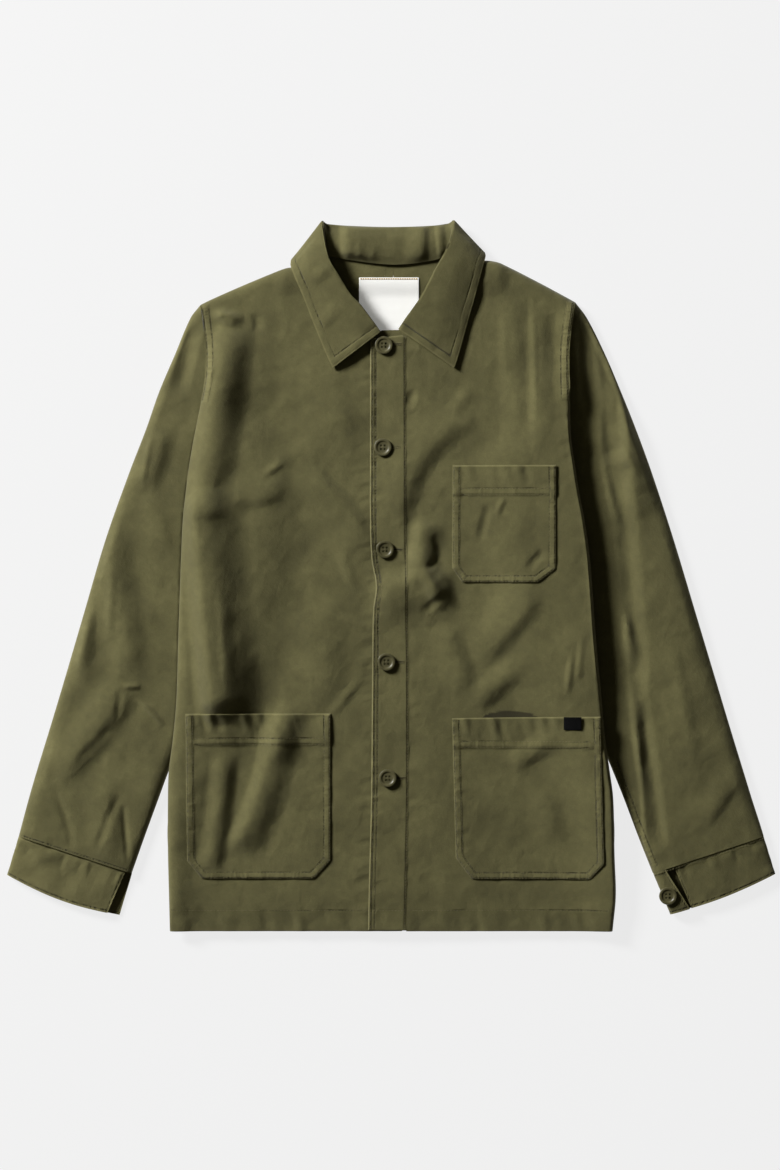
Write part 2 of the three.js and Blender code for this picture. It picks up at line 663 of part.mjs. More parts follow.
// The lattice's rows that a layer between two heights needs, with one to spare on each side
function rowsBetween(low, high) {
  const rows = bodyRows();
  const span = (row) => {
    const ends = [bodyPoint(0, row)[1], bodyPoint(0.5, row)[1]];
    return { low: Math.min(...ends), high: Math.max(...ends) };
  };
  return rows.filter((row, index) => {
    const next = rows[Math.min(index + 1, rows.length - 1)];
    const previous = rows[Math.max(index - 1, 0)];
    return span(next).high >= low && span(previous).low <= high;
  });
}

function columnsBetween(columns, rows, left, right) {
  return columns.filter((column, index) => rows.some((row) => {
    const [before] = bodyPoint(columns[Math.max(index - 1, 0)], row);
    const [after] = bodyPoint(columns[Math.min(index + 1, columns.length - 1)], row);
    return after >= left && before <= right;
  }));
}

// A layer of the body's cloth on its lattice, cut to an outline
function bodyLayer(columns, underside, thickness, outline) {
  const xs = outline.map(([x]) => x);
  const ys = outline.map(([, y]) => y);
  const rows = rowsBetween(Math.min(...ys), Math.max(...ys));
  const kept = columnsBetween(columns, rows, Math.min(...xs), Math.max(...xs));
  const lower = rows.map((row) => kept.map((column) => {
    const [x, y] = bodyPoint(column, row);
    return [x, y, underside(x, y)];
  }));
  const upper = lower.map((points) => points.map(([x, y, z]) => {
    const wall = wallHeight(thickness(x, y), underside, x, y);
    return [x, y, z + wall];
  }));
  return wallBetween(lower, upper).intersect(prism(outline));
}

const even = (thickness) => () => thickness;

// Neck hole and panels

function neckPoints(first, last) {
  return COLLAR_SECTIONS.slice(first, last + 1).map((section) => section.neck.slice(0, 2));
}

// The neck's edge moved outwards by the seam's gap, away from the hole's middle
function cleared(points, gap) {
  return points.map(([x, y]) => {
    const away = new THREE.Vector2(x - NECK_MIDDLE[0], y - NECK_MIDDLE[1]).setLength(gap);
    return [x + away.x, y + away.y];
  });
}

// The outline's end: from the neck's outermost point over the shoulder and round the side
function shoulderAndSide(side, neck) {
  const [outermost] = neck[neck.length - 1];
  const far = side.sign * FAR;
  return [[outermost + side.sign * NECK_TO_SHOULDER, FAR], [far, FAR], [far, -FAR]];
}

function backOutline(side) {
  const centre = CENTRE_BACK_X + side.sign * SEAM_GAP / 2;
  const all = cleared(neckPoints(FIRST_BACK_SECTION, LAST_BACK_SECTION), NECK_GAP);
  const half = all.filter(([x]) => side.sign * (x - centre) > NECK_FROM_CENTRE);
  const neck = side === RIGHT_SIDE ? half.reverse() : half;
  return [[centre, -FAR], [centre, CENTRE_BACK_TOP_Y], ...neck, ...shoulderAndSide(side, neck)];
}

function frontOutline(side) {
  if (side === RIGHT_SIDE) {
    const neck = cleared(neckPoints(0, FIRST_BACK_SECTION), NECK_GAP);
    return [...STAND_EDGE, ...neck, ...shoulderAndSide(side, neck)];
  }
  const last = COLLAR_SECTIONS.length - 1;
  const neck = cleared(neckPoints(LAST_BACK_SECTION, last), NECK_GAP).reverse();
  const hem = PLACKET_EDGES[PLACKET_EDGES.length - 1];
  const edge = [[hem.left + SEAM_GAP, -FAR], ...placketLine('left', SEAM_GAP)];
  return [...edge, ...neck, ...shoulderAndSide(side, neck)];
}

function placketLine(key, gap) {
  const rising = [...PLACKET_EDGES].reverse();
  return rising.map((row) => [row[key] + gap, row.y]);
}

function placketOutline() {
  const right = placketLine('right', 0);
  const left = placketLine('left', 0).reverse();
  return [...right, ...PLACKET_TOP, ...left];
}

function pocketThickness(hemY) {
  return (x, y) => POCKET_CLOTH + POCKET_HEM_EXTRA * smooth((y - hemY) / POCKET_HEM_STEP + 1);
}

function pocket(frontTop, outline, hemY) {
  const under = (x, y) => frontTop(x, y) + SEAM_GAP;
  return bodyLayer(COLUMNS, under, pocketThickness(hemY), outline);
}

function rectangle({ x0, x1, y0, y1 }) {
  return [[x0, y0], [x1, y0], [x1, y1], [x0, y1]];
}

// Sleeves

function armholeLine(side) {
  const rows = bodyRows().map((row) => bodyPoint(side.column, row)).reverse();
  const seam = rows.filter(([, y]) => y >= side.tuckTop);
  const [tip, second] = seam;
  const points = [tip, ...ARMHOLE_TIP_SHARES.map((share) => between(tip, second, share))];
  points.push(...seam.slice(1));
  const start = seam[seam.length - 1][1];
  for (let step = 1; step <= ARMHOLE_HIDDEN_STEPS; step += 1) {
    const y = lerp(start, side.tuckBottom, step / ARMHOLE_HIDDEN_STEPS);
    points.push([sleeveInnerX(side, y), y]);
  }
  const under = points.pop();
  const above = points[points.length - 1];
  points.push(...ARMHOLE_UNDER_SHARES.map((share) => between(above, under, share)), under);
  return points.map(([x, y]) => [x + side.sign * SEAM_GAP, y]);
}

function sleeveRing(side, ring) {
  const armhole = armholeLine(side);
  const [tipX, tipY] = armhole[0];
  const [underX, underY] = armhole[armhole.length - 1];
  const edgeAt = (key, y) => [readTable(side.sleeveEdges, 'y', key, y), y];
  const first = ring.curve === 1;
  const outer = first ? [tipX, tipY] : edgeAt('outer', ring.outer);
  const inner = first ? [underX, underY] : edgeAt('inner', ring.inner);
  return armhole.map(([x, y]) => {
    const share = (tipY - y) / (tipY - underY);
    const bendX = (x - lerp(tipX, underX, share)) * ring.curve;
    const bendY = (y - lerp(tipY, underY, share)) * ring.curve;
    return [lerp(outer[0], inner[0], share) + bendX, lerp(outer[1], inner[1], share) + bendY];
  });
}

function sleeveTop(side, x, y, inside) {
  const folds = foldHeight(SLEEVE_FOLDS, x, y) * smooth(inside / SLEEVE_FOLD_FADE);
  const lift = (SLEEVE_TOP_Z - SLEEVE_EDGE_Z) * roll(inside, SLEEVE_EDGE_RADIUS) + folds;
  const beyond = side.sign * (x - bodyEdge(side, y)) - SLEEVE_RISE_START;
  const above = y - side.tuckTop - SLEEVE_RISE_ABOVE_TUCK;
  const free = Math.max(smooth(beyond / SLEEVE_RISE_WIDTH), smooth(above / SLEEVE_RISE_LENGTH));
  const limit = SLEEVE_UNDER_BODY_Z + SLEEVE_RISE_HEIGHT * free;
  return Math.min(SLEEVE_EDGE_Z + Math.max(lift, 0), limit);
}

// A closed loop of points round a sleeve: over the top from the outer edge, back along the underside
function sleeveLoop(side, plan, inset) {
  const count = plan.length;
  const [outer, inner] = [plan[0], plan[count - 1]];
  const nearest = (point) => Math.min(distance(point, outer), distance(point, inner));
  const moved = (index) => {
    const target = index === 0 ? plan[2] : plan[count - 3];
    return between(plan[index], target, inset / distance(plan[index], target));
  };
  const loop = [];
  for (let index = 0; index < count; index += 1) {
    const [x, y] = plan[index];
    const ends = index === 0 || index === count - 1;
    const top = sleeveTop(side, x, y, nearest(plan[index]));
    if (ends) loop.push([...moved(index), SLEEVE_EDGE_Z]);
    else loop.push([x, y, Math.max(top - inset * SLEEVE_SLOPED_WALL, SLEEVE_EDGE_Z + SLEEVE_EDGE_STEP)]);
  }
  for (const index of undersideIndexes(count)) {
    const [x, y] = plan[index];
    const low = SLEEVE_EDGE_Z * (1 - roll(nearest(plan[index]), SLEEVE_UNDER_RADIUS));
    const highest = SLEEVE_EDGE_Z - SLEEVE_EDGE_STEP * Math.sign(inset);
    loop.push([x, y, Math.min(low + inset, highest)]);
  }
  return loop;
}

// The underside is flat, so it takes its edges' points and every third one between
function undersideIndexes(count) {
  const kept = [];
  for (let index = count - 2; index > 0; index -= 1) {
    const nearEnd = index <= 2 || index >= count - 3;
    if (nearEnd || index % 3 === 0) kept.push(index);
  }
  return kept;
}

// Closes two sets of loops, outside and inside, into a tube with open ends
function tubeFromLoops(outside, inside) {
  const rings = outside.length;
  const count = outside[0].length;
  const positions = [...outside.flat(), ...inside.flat()];
  const out = (ring, index) => ring * count + (index % count);
  const inn = (ring, index) => rings * count + ring * count + (index % count);
  const triangles = [];
  const quad = (a, b, c, d) => triangles.push([a, b, c], [a, c, d]);
  for (let index = 0; index < count; index += 1) {
    for (let ring = 0; ring < rings - 1; ring += 1) {
      quad(out(ring, index), out(ring, index + 1), out(ring + 1, index + 1), out(ring + 1, index));
      quad(inn(ring, index), inn(ring + 1, index), inn(ring + 1, index + 1), inn(ring, index + 1));
    }
    const last = rings - 1;
    quad(out(0, index), inn(0, index), inn(0, index + 1), out(0, index + 1));
    quad(out(last, index), out(last, index + 1), inn(last, index + 1), inn(last, index));
  }
  return orient(positions, triangles);
}

// Turns a closed shell the right way out
function orient(positions, triangles) {
  const solid = solidFrom(positions, triangles);
  if (solid.volume() > 0) return solid;
  return solidFrom(positions, triangles.map(([a, b, c]) => [a, c, b]));
}

function sleeve(side) {
  const plans = SLEEVE_RINGS.map((ring) => sleeveRing(side, ring));
  const outside = plans.map((plan) => sleeveLoop(side, plan, 0));
  const inside = plans.map((plan) => sleeveLoop(side, plan, SLEEVE_CLOTH));
  return tubeFromLoops(outside, inside);
}

// Cuffs

// The cuff's cross-section at a share of the way down, from its outer to its inner edge
function cuffStations(spec, share, width) {
  const last = spec.path.length - 1;
  return spec.path.map((station, index) => {
    const slants = (index === 0) * spec.slants[0] + (index === last) * spec.slants[1];
    return new THREE.Vector2(station.from + station.share * width - share * slants, station.z);
  });
}

function offsetStations(stations, offset) {
  return stations.map((point, index) => {
    const before = stations[Math.max(index - 1, 0)];
    const after = stations[Math.min(index + 1, stations.length - 1)];
    const run = after.clone().sub(before).normalize();
    return new THREE.Vector2(point.x + run.y * offset, point.y - run.x * offset);
  });
}

function cuff(side, spec) {
  const upper = cuffUpper(side, spec.lower);
  const walls = { outer: [], inner: [] };
  for (let step = 0; step <= CUFF_STEPS; step += 1) {
    const share = step / CUFF_STEPS;
    const outer = between(upper.outer, spec.lower.outer, share);
    const inner = between(upper.inner, spec.lower.inner, share);
    const width = distance(outer, inner);
    const stations = cuffStations(spec, share, width);
    const place = (offset) => offsetStations(stations, offset)
      .map((point) => [...between(outer, inner, point.x / width), point.y]);
    walls.outer.push(place(CUFF_CLOTH / 2));
    walls.inner.push(place(-CUFF_CLOTH / 2));
  }
  return orientWall(walls.outer, walls.inner);
}

function orientWall(lower, upper) {
  const solid = wallBetween(lower, upper);
  return solid.volume() > 0 ? solid : wallBetween(upper, lower);
}

// The cuff starts a seam's gap beyond the sleeve's last ring
function cuffUpper(side, lower) {
  const plan = sleeveRing(side, SLEEVE_RINGS[SLEEVE_RINGS.length - 1]);
  const shift = (from, to) => between(from, to, SEAM_GAP / distance(from, to));
  return { outer: shift(plan[0], lower.outer), inner: shift(plan[plan.length - 1], lower.inner) };
}

// Collar

function splineValue(values, at) {
  const index = Math.min(Math.floor(at), values.length - 2);
  const t = at - index;
  const p0 = values[Math.max(index - 1, 0)];
  const p1 = values[index];
  const p2 = values[index + 1];
  const p3 = values[Math.min(index + 2, values.length - 1)];
  const slope1 = (p2 - p0) / 2;
  const slope2 = (p3 - p1) / 2;
  const rest = 1 - t;
  return p1 * (1 + 2 * t) * rest * rest + p2 * (3 - 2 * t) * t * t
    + t * rest * (slope1 * rest - slope2 * t);
}

function collarSection(at) {
  const read = (key, axis) => splineValue(COLLAR_SECTIONS.map((section) => section[key][axis]), at);
  const point = (key) => new THREE.Vector3(read(key, 0), read(key, 1), read(key, 2));
  const turn = splineValue(COLLAR_SECTIONS.map((section) => section.turn), at);
  return {
    tip: point('roll'), rim: point('rim'), neck: point('neck'), turn: THREE.MathUtils.degToRad(turn),
  };
}

// The direction in which the fall lies from the stand
function fallDirection({ tip, rim, turn }) {
  const inward = tip.clone().sub(rim);
  const outside = new THREE.Vector3(-inward.y, inward.x, 0).normalize();
  const toCentre = new THREE.Vector3(...COLLAR_CENTRE).sub(tip);
  if (outside.dot(toCentre) > 0) outside.negate();
  return outside.multiplyScalar(Math.cos(turn)).add(new THREE.Vector3(0, 0, Math.sin(turn)));
}

// The middle line of the collar's cloth at one section, from the neck seam over the roll to the rim
function collarLine(at) {
  const section = collarSection(at);
  const { tip, rim, neck, turn } = section;
  const fallSide = fallDirection(section);
  const inward = tip.clone().sub(rim);
  const forward = inward.addScaledVector(fallSide, -inward.dot(fallSide)).normalize();
  const radius = COLLAR_ROLL_RADIUS;
  const bend = tip.clone().addScaledVector(forward, -radius);
  const stand = bend.clone().addScaledVector(fallSide, -radius);
  const fall = bend.clone().addScaledVector(fallSide, radius);
  const middle = (from, to, lift, share) => from.clone().lerp(to, share).addScaledVector(fallSide, lift);
  const below = Math.sin(turn) < 0;
  const above = Math.sin(turn) > FALL_ABOVE;
  const rolled = (sign) => bend.clone().addScaledVector(forward, radius * ROLL_POINT.forward)
    .addScaledVector(fallSide, sign * radius * ROLL_POINT.aside);
  return [
    neck,
    ...STAND_POINTS.map((row) => middle(neck, stand, below ? row.below : row.above, row.share)),
    stand,
    rolled(-1),
    rolled(1),
    fall,
    ...FALL_POINTS.map((row) => middle(fall, rim, above ? row.above : row.below, row.share)),
    rim,
  ];
}

// The direction across the collar's cloth at one point of its middle lines
function collarNormal(lines, row, column) {
  const line = lines[row];
  const next = lines[Math.min(row + 1, lines.length - 1)][column];
  const previous = lines[Math.max(row - 1, 0)][column];
  const after = line[Math.min(column + 1, line.length - 1)];
  const before = line[Math.max(column - 1, 0)];
  return next.clone().sub(previous).cross(after.clone().sub(before)).normalize();
}

function collar() {
  const lines = [];
  const steps = (COLLAR_SECTIONS.length - 1) * COLLAR_STEPS_BETWEEN;
  for (let step = 0; step <= steps; step += 1) lines.push(collarLine(step / COLLAR_STEPS_BETWEEN));
  const shifted = (offset) => lines.map((line, row) => line.map((point, column) => (
    point.clone().addScaledVector(collarNormal(lines, row, column), offset).toArray()
  )));
  return orientWall(shifted(-COLLAR_CLOTH / 2), shifted(COLLAR_CLOTH / 2));
}

// Buttons

// How far a button's flat underside has to rise along its tilt to clear the cloth under it
function buttonRise(place, height, tilt, turned) {
  const base = height(place.x, place.y);
  let rise = 0;
  for (let step = 0; step < BUTTON_SIDES; step += 1) {
    const angle = (step / BUTTON_SIDES) * Math.PI * 2;
    for (const radius of [BUTTON_RADIUS / 2, BUTTON_RADIUS]) {
      const spot = new THREE.Vector3(Math.cos(angle) * radius, Math.sin(angle) * radius, 0);
      spot.applyQuaternion(turned);
      const cloth = height(place.x + spot.x, place.y + spot.y) - base;
      rise = Math.max(rise, (cloth - spot.z) * tilt.z);
    }
  }
  return rise;
}

function buttonMesh(place, height) {
  const profile = BUTTON_PROFILE.map((row) => new THREE.Vector2(BUTTON_RADIUS - row.inset, row.height));
  const geometry = new THREE.LatheGeometry(profile, BUTTON_SIDES);
  geometry.rotateX(Math.PI / 2);
  const slope = slopeOf(height, place.x, place.y, BUTTON_RADIUS);
  const tilt = new THREE.Vector3(-slope.x, -slope.y, 1).normalize();
  const turned = new THREE.Quaternion().setFromUnitVectors(new THREE.Vector3(0, 0, 1), tilt);
  const mesh = new THREE.Mesh(geometry);
  mesh.quaternion.copy(turned);
  mesh.position.set(place.x, place.y, height(place.x, place.y));
  mesh.position.addScaledVector(tilt, buttonRise(place, height, tilt, turned) + BUTTON_STAND);
  return mesh;
}

// Assembly

const jacket = new THREE.Group();

function dress(mesh, name, finish) {
  mesh.name = name;
  mesh.material = new THREE.MeshStandardMaterial(finish);
  jacket.add(mesh);
}

function addSolid(name, solid, finish) {
  dress(new THREE.Mesh(geometryFrom(solid)), name, finish);
}

for (const [name, side] of [['back_right', RIGHT_SIDE], ['back_left', LEFT_SIDE]]) {
  const panel = bodyLayer(BACK_COLUMNS, backUnderside, even(BACK_CLOTH), backOutline(side));
  addSolid(name, panel, OLIVE_INSIDE);
}

const frontRight = bodyLayer(COLUMNS, rightFrontUnder, even(CLOTH), frontOutline(RIGHT_SIDE));
addSolid('front_right', frontRight, OLIVE);
const frontLeft = bodyLayer(COLUMNS, leftFrontUnder, even(CLOTH), frontOutline(LEFT_SIDE));
addSolid('front_left', frontLeft, OLIVE);
addSolid('placket', bodyLayer(COLUMNS, placketUnder, even(PLACKET_CLOTH), placketOutline()), OLIVE);

addSolid('chest_pocket', pocket(leftFrontTop, CHEST_POCKET, CHEST_HEM_Y), OLIVE_LIGHT);
addSolid('hip_pocket_right', pocket(rightFrontTop, HIP_POCKET_RIGHT, HIP_HEM_Y), OLIVE_LIGHT);
addSolid('hip_pocket_left', pocket(leftFrontTop, HIP_POCKET_LEFT, HIP_HEM_Y), OLIVE_LIGHT);

const pocketUnder = (x, y) => leftFrontTop(x, y) + SEAM_GAP;
const pocketWall = pocketThickness(HIP_HEM_Y);
const tagUnder = (x, y) => (
  pocketUnder(x, y) + wallHeight(pocketWall(x, y), pocketUnder, x, y) + SEAM_GAP
);
addSolid('pocket_tag', bodyLayer(COLUMNS, tagUnder, even(TAG_CLOTH), rectangle(TAG)), TAG_BLACK);

const labelUnder = (x, y) => backInner(x, y) + SEAM_GAP;
const label = bodyLayer(BACK_COLUMNS, labelUnder, even(LABEL_CLOTH), rectangle(LABEL));
addSolid('neck_label', label, LABEL_WHITE);

addSolid('collar', collar(), OLIVE);

for (const [side, spec] of [[RIGHT_SIDE, CUFF_RIGHT], [LEFT_SIDE, CUFF_LEFT]]) {
  addSolid(`sleeve_${side.edge}`, sleeve(side), OLIVE);
  addSolid(`cuff_${side.edge}`, cuff(side, spec), OLIVE_LIGHT);
}

FRONT_BUTTONS.forEach((place, index) => {
  dress(buttonMesh(place, placketTop), `button_front_${index + 1}`, BUTTON_FINISH);
});
dress(buttonMesh(CUFF_BUTTON, () => TAB_TOP_Z), 'button_cuff_left', BUTTON_FINISH);

export default jacket;
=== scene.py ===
"""A chore jacket laid flat and buttoned: its cloth, stitching, buttons, label and studio.

Sizes are millimetres unless a name says otherwise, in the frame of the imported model: +X to the
wearer's left, +Y to the collar and +Z up out of the front. Right and left are the wearer's.
"""

import logging
import math
from dataclasses import dataclass
from dataclasses import field
from enum import Enum
from typing import Callable

import bpy
import numpy as np
from mathutils import Matrix
from mathutils import Vector


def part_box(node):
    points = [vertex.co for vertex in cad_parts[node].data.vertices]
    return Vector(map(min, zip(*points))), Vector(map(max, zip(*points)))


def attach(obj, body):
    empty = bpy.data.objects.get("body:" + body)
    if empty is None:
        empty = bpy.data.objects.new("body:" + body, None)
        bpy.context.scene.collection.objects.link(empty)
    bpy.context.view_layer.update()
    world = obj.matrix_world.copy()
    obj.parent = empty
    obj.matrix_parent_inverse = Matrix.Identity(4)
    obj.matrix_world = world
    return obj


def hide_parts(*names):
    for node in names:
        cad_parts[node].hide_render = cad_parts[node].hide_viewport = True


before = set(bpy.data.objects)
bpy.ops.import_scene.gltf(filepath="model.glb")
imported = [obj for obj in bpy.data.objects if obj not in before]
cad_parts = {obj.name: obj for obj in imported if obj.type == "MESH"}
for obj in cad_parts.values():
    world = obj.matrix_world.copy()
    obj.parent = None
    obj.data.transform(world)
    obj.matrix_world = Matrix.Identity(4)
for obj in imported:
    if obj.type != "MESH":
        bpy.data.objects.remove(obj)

LOG = logging.getLogger("chore_jacket")
MM = 0.001
SEAM_GAP = 0.3
WAVE_SCALE = 160.0

Array = np.ndarray
HeightAt = Callable[[Array, Array], Array]


# Numbers, curves and tables


def smooth(share: Array) -> Array:
    """Eases a share between 0 and 1."""
    held = np.clip(share, 0.0, 1.0)
    return held * held * (3.0 - 2.0 * held)


def mixed(start: Array, end: Array, share: Array) -> Array:
    """The value at a share of the way from start to end."""
    return start + (end - start) * share


def rolled(distance: Array, radius: float) -> Array:
    """The rise of a rounded edge: 0 at the edge and 1 from its radius inwards."""
    rest = 1.0 - np.clip(distance / radius, 0.0, 1.0)
    return np.sqrt(1.0 - rest * rest)


def read_curve(places: Array, values: Array, at: Array) -> Array:
    """Reads values along a smooth curve.

    Args:
        places: Where the values stand, in either order.
        values: The value at each place.
        at: Where to read.

    Returns:
        The values read, in the shape of at.
    """
    order = np.argsort(places)
    place = places[order]
    value = values[order]
    slope = np.empty_like(value)
    slope[1:-1] = (value[2:] - value[:-2]) / (place[2:] - place[:-2])
    slope[0] = (value[1] - value[0]) / (place[1] - place[0])
    slope[-1] = (value[-1] - value[-2]) / (place[-1] - place[-2])
    index = np.clip(np.searchsorted(place, at, side="left") - 1, 0, len(place) - 2)
    span = place[index + 1] - place[index]
    share = np.clip((at - place[index]) / span, 0.0, 1.0)
    rest = 1.0 - share
    curve = value[index] * (1.0 + 2.0 * share) * rest * rest
    curve = curve + value[index + 1] * (3.0 - 2.0 * share) * share * share
    return curve + span * share * rest * (slope[index] * rest - slope[index + 1] * share)


@dataclass(frozen=True)
class Table:
    """Rows of sizes under named columns."""

    columns: str
    rows: tuple[tuple[float, ...], ...]

    def column(self, name: str) -> Array:
        """One column as an array."""
        return np.array(self.rows, float)[:, self.columns.split().index(name)]

    def read(self, place: str, name: str, at: Array) -> Array:
        """Reads a column along a smooth curve over another one."""
        return read_curve(self.column(place), self.column(name), np.asarray(at, float))

    def points(self, first: str, second: str) -> Array:
        """Two columns as points."""
        return np.stack([self.column(first), self.column(second)], axis=1)


def run_lengths(path: Array) -> Array:
    """How far along a line each of its points is."""
    steps = np.linalg.norm(np.diff(path, axis=0), axis=1)
    return np.concatenate([[0.0], np.cumsum(steps)])


def along(path: Array, shares: Array) -> Array:
    """The points at shares of a line's length."""
    lengths = run_lengths(path)
    return np.stack([np.interp(shares * lengths[-1], lengths, axis) for axis in path.T], axis=-1)


def nearest_on(path: Array, x: Array, y: Array) -> tuple[Array, Array]:
    """Measures points against a line.

    Args:
        path: The line's points.
        x: The points' x.
        y: The points' y.

    Returns:
        The distance to the line, and how far along it the nearest place is.
    """
    best = np.full(x.shape, np.inf)
    run = np.zeros(x.shape)
    lengths = run_lengths(path)
    for start, end, done, after in zip(path[:-1], path[1:], lengths[:-1], lengths[1:]):
        length = max(after - done, 1e-6)
        step = (end - start) / length
        reach = np.clip((x - start[0]) * step[0] + (y - start[1]) * step[1], 0.0, length)
        gap = np.hypot(x - start[0] - reach * step[0], y - start[1] - reach * step[1])
        closer = gap < best
        best = np.where(closer, gap, best)
        run = np.where(closer, done + reach, run)
    return best, run


def moved_aside(path: Array, offset: float) -> Array:
    """A line moved to its left by an offset, mitred at its corners.

    Args:
        path: The line's points.
        offset: How far to move it.

    Returns:
        The moved line.
    """
    steps = np.diff(path, axis=0)
    steps = steps / np.linalg.norm(steps, axis=1)[:, None]
    before = np.vstack([steps[:1], steps])
    after = np.vstack([steps, steps[-1:]])
    normal = np.stack([-(before[:, 1] + after[:, 1]), before[:, 0] + after[:, 0]], axis=1)
    normal = normal / np.linalg.norm(normal, axis=1)[:, None]
    turn = np.clip(normal[:, 0] * -after[:, 1] + normal[:, 1] * after[:, 0], 0.5, 1.0)
    return path + normal * (offset / turn)[:, None]


def spread(length: float, step: float, fine: tuple[float, ...]) -> Array:
    """Shares of a length: fine steps at both ends and even ones between.

    Args:
        length: The length to share out.
        step: The size of the even steps.
        fine: The distances of the fine places from each end.

    Returns:
        Rising shares from 0 to 1.
    """
    last = fine[-1] if fine else 0.0
    count = max(int(round((length - 2.0 * last) / step)), 1)
    middle = np.linspace(last, length - last, count + 1)
    low = np.array([0.0, *fine[:-1]]) if fine else np.array([])
    return np.concatenate([low, middle, (length - low)[::-1]]) / length


@dataclass(frozen=True)
class Crumple:
    """Smooth seeded unevenness, as washed cotton has."""

    seed: int
    size: float
    height: float
    stretch: float = 1.0

    def at(self, x: Array, y: Array) -> Array:
        """Heights from minus to plus the height, at x and y.

        Args:
            x: Places across.
            y: Places along.

        Returns:
            The heights.
        """
        grid = np.random.default_rng(self.seed).uniform(-1.0, 1.0, (64, 64))
        u = np.asarray(x) / self.size + 31.7
        v = np.asarray(y) / (self.size * self.stretch) + 17.3
        column = np.floor(u).astype(int)
        row = np.floor(v).astype(int)
        share_u = smooth(u - column)
        share_v = smooth(v - row)
        corner = [grid[(row + j) % 64, (column + i) % 64] for j in (0, 1) for i in (0, 1)]
        low = mixed(corner[0], corner[1], share_u)
        high = mixed(corner[2], corner[3], share_u)
        return self.height * mixed(low, high, share_v)


def fold_heights(folds: Table, x: Array, y: Array) -> Array:
    """Adds up the folds of a table: each is a soft ridge or trough with two unequal flanks.

    Args:
        folds: The rows of folds.
        x: Places across.
        y: Places along.

    Returns:
        The summed heights.
    """
    total = np.zeros(np.broadcast(x, y).shape)
    for x0, y0, x1, y1, bow, before, after, height, fade in folds.rows:
        run_x = x1 - x0
        run_y = y1 - y0
        length = math.hypot(run_x, run_y)
        share = ((x - x0) * run_x + (y - y0) * run_y) / (length * length)
        aside = ((y - y0) * run_x - (x - x0) * run_y) / length - 4.0 * share * (1.0 - share) * bow
        flank = np.clip(np.abs(aside) / np.where(aside < 0.0, before, after), 0.0, 1.0)
        crest = 0.5 + 0.5 * np.cos(math.pi * flank)
        total = total + height * crest * smooth(share / fade) * smooth((1.0 - share) / fade)
    return total


# The body's outline and folds, the same as the solids have

BODY_EDGES = Table("y right left", (
    (297, -206.0, 199.0), (250, -200.3, 193.0), (218, -200.3, 192.4), (190, -205.0, 193.0),
    (150, -213.0, 194.5), (118, -218.5, 199.0), (90, -222.0, 203.5), (61, -225.0, 209.0),
    (18, -227.0, 215.0), (-69, -230.0, 221.5), (-133, -232.0, 227.5), (-177, -236.0, 231.5),
    (-209, -240.0, 236.0), (-240, -241.0, 240.0), (-300, -241.0, 241.5), (-345, -240.0, 243.0),
    (-384, -239.0, 239.5),
))

SHOULDER_LINE = Table("x y", (
    (-212, 291.5), (-195, 300), (-149, 320), (-114, 333.5), (-98, 335.5), (-74, 346), (0, 354),
    (72, 352), (94, 342.5), (109, 341), (120, 338), (156, 320), (194, 299.5), (205, 293),
))

FOLD_COLUMNS = "x0 y0 x1 y1 bow before after height fade"

BODY_FOLDS = Table(FOLD_COLUMNS, (
    (-170, 286, -208, 52, 0, 24, 34, 10, 0.18),
    (-210, 98, -187, -164, 0, 24, 54, 15.5, 0.13),
    (-198, 286, -156, 276, 0, 12, 10, 5, 0.4),
    (-184, 86, -104, 97, -5, 16, 30, 3.5, 0.3),
    (-104, 124, -16, 20, 8, 42, 16, 4.5, 0.3),
    (-70, 262, -46, 110, 0, 66, 28, 2.4, 0.4),
    (-80, -14, -66, -158, 0, 60, 34, 4, 0.4),
    (-178, -180, -198, -330, 3, 18, 17, 5.5, 0.22),
    (-124, -140, -172, -304, 11, 18, 32, 8.0, 0.2),
    (-106, -128, -124, -206, 0, 18, 34, 4.0, 0.3),
    (98, 180, 6, 36, -28, 44, 22, 5.2, 0.3),
    (38, 66, 24, -14, 0, 16, 26, 7.5, 0.25),
    (28, 34, 58, -38, 0, 14, 20, 4.5, 0.3),
    (74, -8, -28, -18, 0, 26, 46, 8.5, 0.3),
    (140, -100, 150, -420, 0, 128, 110, -4.0, 0.25),
    (131, 312, 136, 132, 0, 22, 16, 2.2, 0.3),
    (158, 316, 158, 122, 0, 12, 22, 2.4, 0.3),
    (166, -4, 88, -104, 0, 38, 20, 5, 0.35),
    (56, -48, 88, -136, 0, 26, 18, 4, 0.35),
    (146, -88, 84, -144, 0, 22, 18, 4, 0.35),
    (182, -172, 122, -208, 0, 18, 16, 4, 0.4),
    (158, -222, 184, -288, 0, 26, 18, 3.5, 0.4),
    (188, 200, 224, -170, 2, 60, 26, 3.5, 0.2),
    (228, -150, 238, -360, 0, 50, 30, 2, 0.3),
))

SLEEVE_FOLDS = Table(FOLD_COLUMNS, (
    (-212, 282, -232, 190, 0, 16, 14, -4, 0.3),
    (-242, 172, -266, 82, 0, 24, 18, 4, 0.35),
    (-266, 96, -238, 20, 0, 26, 18, 2.0, 0.35),
    (-308, 70, -277, -126, 0, 30, 26, 5, 0.25),
    (-272, -104, -366, -228, 0, 34, 24, 5.5, 0.3),
    (-334, -6, -333, -124, 0, 14, 18, 4, 0.35),
    (-312, -215, -300, -318, 0, 28, 18, 3.5, 0.35),
    (206, 290, 214, 96, 4, 14, 16, -6, 0.25),
    (236, 240, 268, 46, 0, 20, 34, 6, 0.25),
    (246, -34, 268, -104, 0, 14, 14, 6, 0.35),
    (262, -84, 262, -240, 0, 18, 24, 3.4, 0.3),
    (378, -206, 332, -276, 0, 28, 22, 3.2, 0.35),
    (276, 90, 336, -270, 0, 44, 44, 3, 0.25),
))

# Small creases that only this file has

